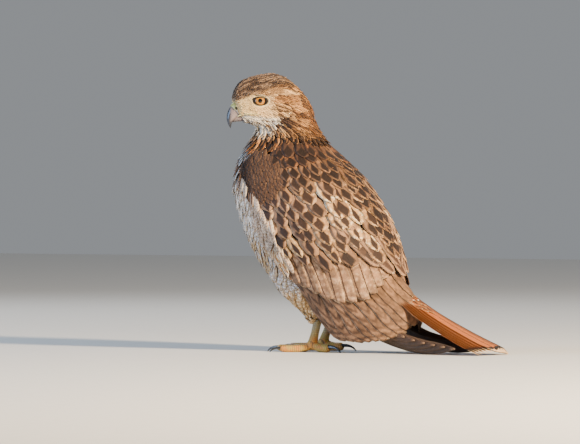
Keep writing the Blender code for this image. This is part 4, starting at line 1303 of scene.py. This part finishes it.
def loft(name, rings, band=False):
    """A closed mesh through rings of points. A band's last ring joins its first, else both ends close."""
    count, around = rings.shape[:2]
    points = [*rings.reshape(-1, 3)]
    faces = []
    for k in range(count if band else count - 1):
        for i in range(around):
            a, b, j = k * around, (k + 1) % count * around, (i + 1) % around
            faces.append((a + i, a + j, b + j, b + i))
    if not band:
        points += [rings[0].mean(axis=0), rings[-1].mean(axis=0)]
        for i in range(around):
            j, last = (i + 1) % around, (count - 1) * around
            faces.append((j, i, count * around))
            faces.append((last + i, last + j, count * around + 1))
    mesh = bpy.data.meshes.new(name)
    mesh.from_pydata([tuple(p) for p in on_bench(points)], [], faces)
    made = linked(name, mesh)
    outward(made)
    return made


# Near-black lids: partly the lids' own dark skin, partly painted shade cast by the brow over them.
lid_and_brow_shade_look = speckled("eyelid", 0.65, 0.2, 2500, 3, (0.005, 0.004, 0.004), (0.02, 0.016, 0.013), 0.3, 0.0002)
eye_skin_look = speckled("eye_skin", 0.6, 0.3, 1800, 4, (0.5, 0.36, 0.17), (0.82, 0.68, 0.42), 0.5, 0.0004)
ridge = Surface("brow", 0.6, 0.3)
creases = ridge.noise(1500, 4)
lit = ridge.mix(creases, (0.24, 0.17, 0.1), (0.56, 0.44, 0.28))
# The ridge's lower 0.6 mm is painted near-black as the shade under the brow; lit is its colour elsewhere.
brow_underside_shade = ridge.ramp(along_head(ridge, -0.06, 0, 1), BROW_HEIGHT, BROW_HEIGHT - 0.6)
ridge.paint(ridge.mix(brow_underside_shade, lit, (0.02, 0.014, 0.01)))
ridge.relief(creases, 0.4, 0.0003)


def eye_surface(side, word):
    """The eye's colours by the angle from the middle of its gaze."""
    eye = Surface("eye_" + word, 0.4, 0.0, 0, 0.7, 0.02)
    gaze = np.array([0.14, side, 0.0]) / math.hypot(0.14, 1)
    out = eye.math("SUBTRACT", along_head(eye, *gaze), float(EYE_SIDE * abs(gaze[1])))
    turn = eye.math("ARCCOSINE", eye.math("MINIMUM", eye.math("DIVIDE", out, EYE_RADIUS), 1.0))
    rays = eye.line(eye.noise(1400, 4), 1.2, -0.1)
    amber = eye.mix(rays, IRIS_DARK, IRIS_LIGHT)
    amber = eye.mix(eye.ramp(turn, *IRIS_RING), amber, IRIS_DARK)
    colour = eye.mix(eye.ramp(turn, *PUPIL), (0.003, 0.003, 0.004), amber)
    eye.paint(eye.mix(eye.ramp(turn, *IRIS_EDGE), colour, (0.006, 0.005, 0.005)))
    return eye.look


for side, word in SIDES:
    middle = tuple(on_bench(from_head([0, side * EYE_SIDE, 0])))
    ball = primitive("eyeball_" + word, bpy.ops.mesh.primitive_uv_sphere_add, segments=48, ring_count=32,
                     radius=EYE_RADIUS * MM, location=middle)
    settle(ball, eye_surface(side, word), "eye", "eye_" + word)

    # The lids: a ring drawn out to an almond that rests on the ball, or on the face where that is prouder
    def lid_place(x, y, z):
        around = math.atan2(y, x)
        rim_ahead, rim_up = eye_opening(around)
        # The upper rim is drawn wider, so its black also serves as painted shade under the brow.
        grown = 1.02 + (1.45 if y > 0 else 1.0) * (math.hypot(x, y) - 1)
        ahead, rise = rim_ahead * grown, rim_up * grown
        on_ball = math.sqrt(max(0.0, (EYE_RADIUS + 0.2) ** 2 - ahead**2 - rise**2))
        out = max(on_ball, past_ball(rim_ahead, rim_up, side) + 0.3) + z * 5.0
        return ahead + LIDS_AHEAD, side * (EYE_SIDE + out), rise

    lids = primitive("eyelids_" + word, bpy.ops.mesh.primitive_torus_add, major_segments=64,
                     minor_segments=10, major_radius=1.0, minor_radius=0.13)
    reshaped(lids, lid_place)
    if side > 0:
        outward(lids)
    settle(lids, lid_and_brow_shade_look, "head_feathers")

    # Bare pale skin round the lids, from the ball down under the feathers of the face
    rings = []
    for share, proud in SKIRT_RINGS:
        ring = []
        for angle in np.linspace(0, 2 * math.pi, 64, endpoint=False):
            ahead, rise = eye_opening(angle if angle <= math.pi else angle - 2 * math.pi)
            ahead += share * (SKIRT[0] * math.cos(angle) - ahead)
            rise += share * (SKIRT[1] * math.sin(angle) - rise)
            on_ball = math.sqrt(max(0.0, EYE_RADIUS**2 - ahead**2 - rise**2))
            out = max(on_ball, past_ball(ahead, rise, side) * min(1.0, share * 3)) + proud
            ring.append([ahead + LIDS_AHEAD, side * (EYE_SIDE + out), rise])
        rings.append(from_head(ring))
    settle(loft("eye_skin_" + word, np.array(rings), True), eye_skin_look, "head_feathers")

    # The brow: a ridge over the eye that runs from the lore to behind the eye
    def brow_place(x, y, z):
        forward = BROW_MIDDLE + BROW_HALF_LENGTH * x
        droop = -0.02 * (forward - 0.5) ** 2 + 0.1 * (forward - 2)
        deep = EYE_SIDE + 7.2 - 0.014 * (forward + 1) ** 2 - 0.26 * max(0.0, forward)
        return forward, side * (deep + 2.9 * y), BROW_HEIGHT + droop * 0.5 + 1.3 * z

    brow = primitive("brow_" + word, bpy.ops.mesh.primitive_uv_sphere_add, segments=40, ring_count=16,
                     radius=1.0)
    reshaped(brow, brow_place)
    outward(brow)
    settle(brow, ridge.look, "head_feathers")

# Bill: a horn sheath, slate at the ridge and tip and pinkish grey at its sides, with the waxy cere
# over its base, the nostrils in it as near-black balls of painted shade, and the yellow gape running
# back under the eye.
bill = Surface("bill", 0.3, 0.5, 0, 0.25)
streaks = bill.noise(500, 4)
front = bill.ramp(along_head(bill, 1, 0, 0), 32.2, 36.4)
tip = bill.ramp(along_head(bill, 0, 0, 1), -21.0, -28.0)
horn = bill.mix(streaks, (0.1, 0.085, 0.088), (0.34, 0.26, 0.25))
slate = bill.mix(streaks, (0.012, 0.014, 0.02), (0.04, 0.045, 0.06))
bill.paint(bill.mix(bill.math("MAXIMUM", front, tip), horn, slate))
bill.relief(streaks, 0.2, 0.0004)
cere = Surface("cere", 0.42, 0.5, 0, 0.15)
pores = cere.noise(1500, 3)
waxy = cere.mix(pores, (0.4, 0.38, 0.08), (0.6, 0.56, 0.2))
lower = cere.ramp(along_head(cere, 0, 0, 1), -8.5, -13.5)
cere.paint(cere.mix(lower, waxy, (0.5, 0.4, 0.3)))
cere.relief(pores, 0.3, 0.0003)
gape_look = speckled("gape", 0.45, 0.5, 1200, 3, (0.6, 0.5, 0.2), (0.78, 0.7, 0.36), 0.3, 0.0003, 0.1)
# The nostrils' near-black is painted shade of their openings.
nostril_shade_look = speckled("nostril", 0.7, 0.2, 2000, 2, (0.006, 0.005, 0.005), (0.03, 0.022, 0.018))

# Bill stations from the forehead to the tip: forward and up of the ridge, of the cutting edge,
# and the half width. A side profile is the share of the half width and of the way down.
HOOK = [
    (0, 20, -1.0, 15, -18.0, 10.4), (1, 28.5, -3.0, 22, -19.8, 8.8), (2, 33, -6.2, 26.2, -21.4, 7.4),
    (3, 36.2, -11.3, 29.2, -23, 6.3), (4, 38, -17.3, 31.2, -25, 5.1), (5, 38.3, -23, 32.3, -27.4, 4),
    (6, 37.2, -28.4, 32.9, -30, 2.8), (7, 35.4, -32, 33.1, -32.2, 1.6), (8, 33.6, -34.4, 33.2, -34.2, 0.3),
]
HOOK_SIDE = [
    (0, 0), (0.26, 0.02), (0.52, 0.09), (0.76, 0.24), (0.92, 0.44), (1, 0.66), (0.96, 0.85), (0.86, 1),
    (0.5, 0.97), (0.2, 0.93),
]
UNDER = [
    (0, 10, -17.5, 10, -25.5, 9), (1, 18, -18, 18, -26, 7.8), (2, 24, -19.4, 23.8, -26.3, 6.2),
    (3, 28, -21.6, 27.6, -26.6, 4.6), (4, 30.4, -24, 30, -26.8, 2.8), (5, 31.2, -25.6, 31, -26.6, 0.8),
]
UNDER_SIDE = [
    (0, 0.25), (0.5, 0.12), (0.9, 0.02), (1, 0.1), (0.98, 0.35), (0.85, 0.65), (0.55, 0.88), (0.2, 0.98),
]
CERE_SWELL = [(0, 0.8), (6, 1.7), (9, 1.5), (14, 0.5), (15, -0.5)]
# The gape: forward, out and up along the bill's edge, then forward and up along the face
GAPE_ON_BILL = [(26, 7.9, -19.4), (23.5, 10.0, -18.3), (20.5, 11.6, -17.3)]
GAPE_ON_FACE = [(17, -16.6), (13, -16.3), (9, -16.4), (5, -17.0), (1, -18.2)]
GAPE_RADII = [(0, 0.8), (0.15, 1.15), (0.6, 0.95), (1, 0.3)]


def tube_points(path, radii, around, flatten):
    """Rings of points round a path, each square to it."""
    ahead = np.gradient(path, axis=0)
    ahead /= np.linalg.norm(ahead, axis=1)[:, None]
    across = np.cross(ahead, [0, 0, 1.0])
    across /= np.linalg.norm(across, axis=1)[:, None]
    up = np.cross(across, ahead)
    turn = np.linspace(0, 2 * math.pi, around, endpoint=False)
    aside, rise = np.cos(turn) * radii[:, None], np.sin(turn) * radii[:, None] * flatten
    return path[:, None] + across[:, None] * aside[..., None] + up[:, None] * rise[..., None]


def horn_rings(stations, profile, first, last, steps, wider=0.0, slant=1.0):
    """Rings of a bill part: its side profile, given as half width and way down, at each station."""
    keys = np.linspace(first, last, steps)
    top = along(stations, keys)
    low = along(stations, first + (keys - first) * slant)
    ridge, cut, half = top[:, 0:2], low[:, 2:4], (top[:, 4] + low[:, 4]) / 2 + wider
    left = [*profile, (0, profile[-1][1])]
    right = [(-wide, down) for wide, down in profile[::-1] if wide > 0]
    loop = np.array(left + right, float)
    flat = ridge[:, None] + (cut - ridge)[:, None] * loop[None, :, 1:2]
    out = half[:, None] * loop[None, :, 0]
    return from_head(np.stack([flat[..., 0], out, flat[..., 1]], axis=-1))


settle(loft("bill_hook", horn_rings(HOOK, HOOK_SIDE, 0.6, 8, 44)), bill.look, "bill", "bill_upper")
settle(loft("bill_under", horn_rings(UNDER, UNDER_SIDE, 0, 5, 20)), bill.look, "bill", "bill_lower")
cere_rings = horn_rings(HOOK, HOOK_SIDE, 0, 2.15, 16, 0.55, 0.42)
cere_out = cere_rings - cere_rings.mean(axis=1, keepdims=True)
cere_out /= np.linalg.norm(cere_out, axis=2, keepdims=True)
swell = read(CERE_SWELL, np.arange(16))[:, None, None]
settle(loft("cere_skin", cere_rings + cere_out * swell), cere.look, "cere", "cere")
for side, word in SIDES:
    def nostril_place(x, y, z):
        return 28.3 + 1.2 * x + 0.9 * z, side * 9.3 + 1.1 * y, -9.6 + 1.6 * z

    nostril = primitive("nostril_" + word, bpy.ops.mesh.primitive_uv_sphere_add, segments=20, ring_count=12,
                        radius=1.0)
    reshaped(nostril, nostril_place)
    settle(nostril, nostril_shade_look, "cere")
    path = [from_head([forward, side * out, up]) for forward, out, up in GAPE_ON_BILL]
    path = np.array(path + [on_face(forward, up, side, 1.0) for forward, up in GAPE_ON_FACE])
    gone, fine = np.linspace(0, 1, len(path)), np.linspace(0, 1, 24)
    path = np.column_stack([np.interp(fine, gone, values) for values in path.T])
    settle(loft("gape_" + word, tube_points(path, read(GAPE_RADII, fine), 12, 0.7)), gape_look, "cere")

# Feet and claws: scaly toes and shanks, and curved horn claws. The shanks are painted greyer and
# darker than the yellow toes, as painted shade under the leg feathers.
SCUTE = 2.6
FOOT_MIDDLES = {"left": (29.0, 37.0), "right": (-29.0, 15.0)}
scales = Surface("foot_scales", 0.5, 0.4)
cells = scales.node("TexVoronoi", {"Vector": scales.places(), "Scale": 620}, feature="DISTANCE_TO_EDGE")
seams = scales.ramp(cells["Distance"], 0.0, 0.14)
patches = scales.ramp(scales.noise(130, 3), 0.42, 0.6)
toes = scales.mix(patches, (0.56, 0.37, 0.08), (0.66, 0.28, 0.05))
# The shank's grey-brown is painted shade: the yellow skin darkened where the leg feathers shade it.
shaded_shank = scales.mix(patches, (0.4, 0.31, 0.13), (0.32, 0.28, 0.17))
height = scales.node("SeparateXYZ", {0: scales.places()})["Z"]
yellow = scales.mix(scales.ramp(height, 0.014, 0.03), toes, shaded_shank)
scutes = scales.math("SINE", scales.times(scales.attribute("reach")["Fac"], 2 * math.pi / SCUTE))
seams = scales.times(scales.line(seams, 0.4, 0.6), scales.ramp(scutes, -0.98, -0.5))
scales.paint(scales.mix(seams, scales.mix(0.75, yellow, (0.04, 0.025, 0.01)), yellow))
scales.relief(seams, 0.9, 0.0008)
CLAW_DARK = (0.008, 0.009, 0.011)
CLAW_LIGHT = (0.03, 0.032, 0.036)
claw_look = speckled("claw", 0.22, 0.5, 400, 3, CLAW_DARK, CLAW_LIGHT, 0.15, 0.0004, 0.4)


def refined(node, name, look, slot):
    """A finer copy of a CAD node, rounded by subdivision."""
    made = copy_of(node, name)
    shape = made.modifiers.new("round", "SUBSURF")
    shape.levels = 1
    shape.render_levels = 1
    apply_all(made)
    return settle(made, look, slot, node)


for side, word in SIDES:
    foot = refined("foot_" + word, "foot_skin_" + word, scales.look, "scales")
    points = corners_of(foot)
    out_along = np.hypot(*(points[:, :2] - FOOT_MIDDLES[word]).T)
    up_shank = soft(points[:, 2], 12, 22)
    reach = foot.data.attributes.new("reach", "FLOAT", "POINT")
    reach.data.foreach_set("value", out_along * (1 - up_shank) + points[:, 2] * up_shank)
    for toe in ("hind", "inner", "middle", "outer"):
        refined(f"claw_{word}_{toe}", f"claw_horn_{word}_{toe}", claw_look, "claw")
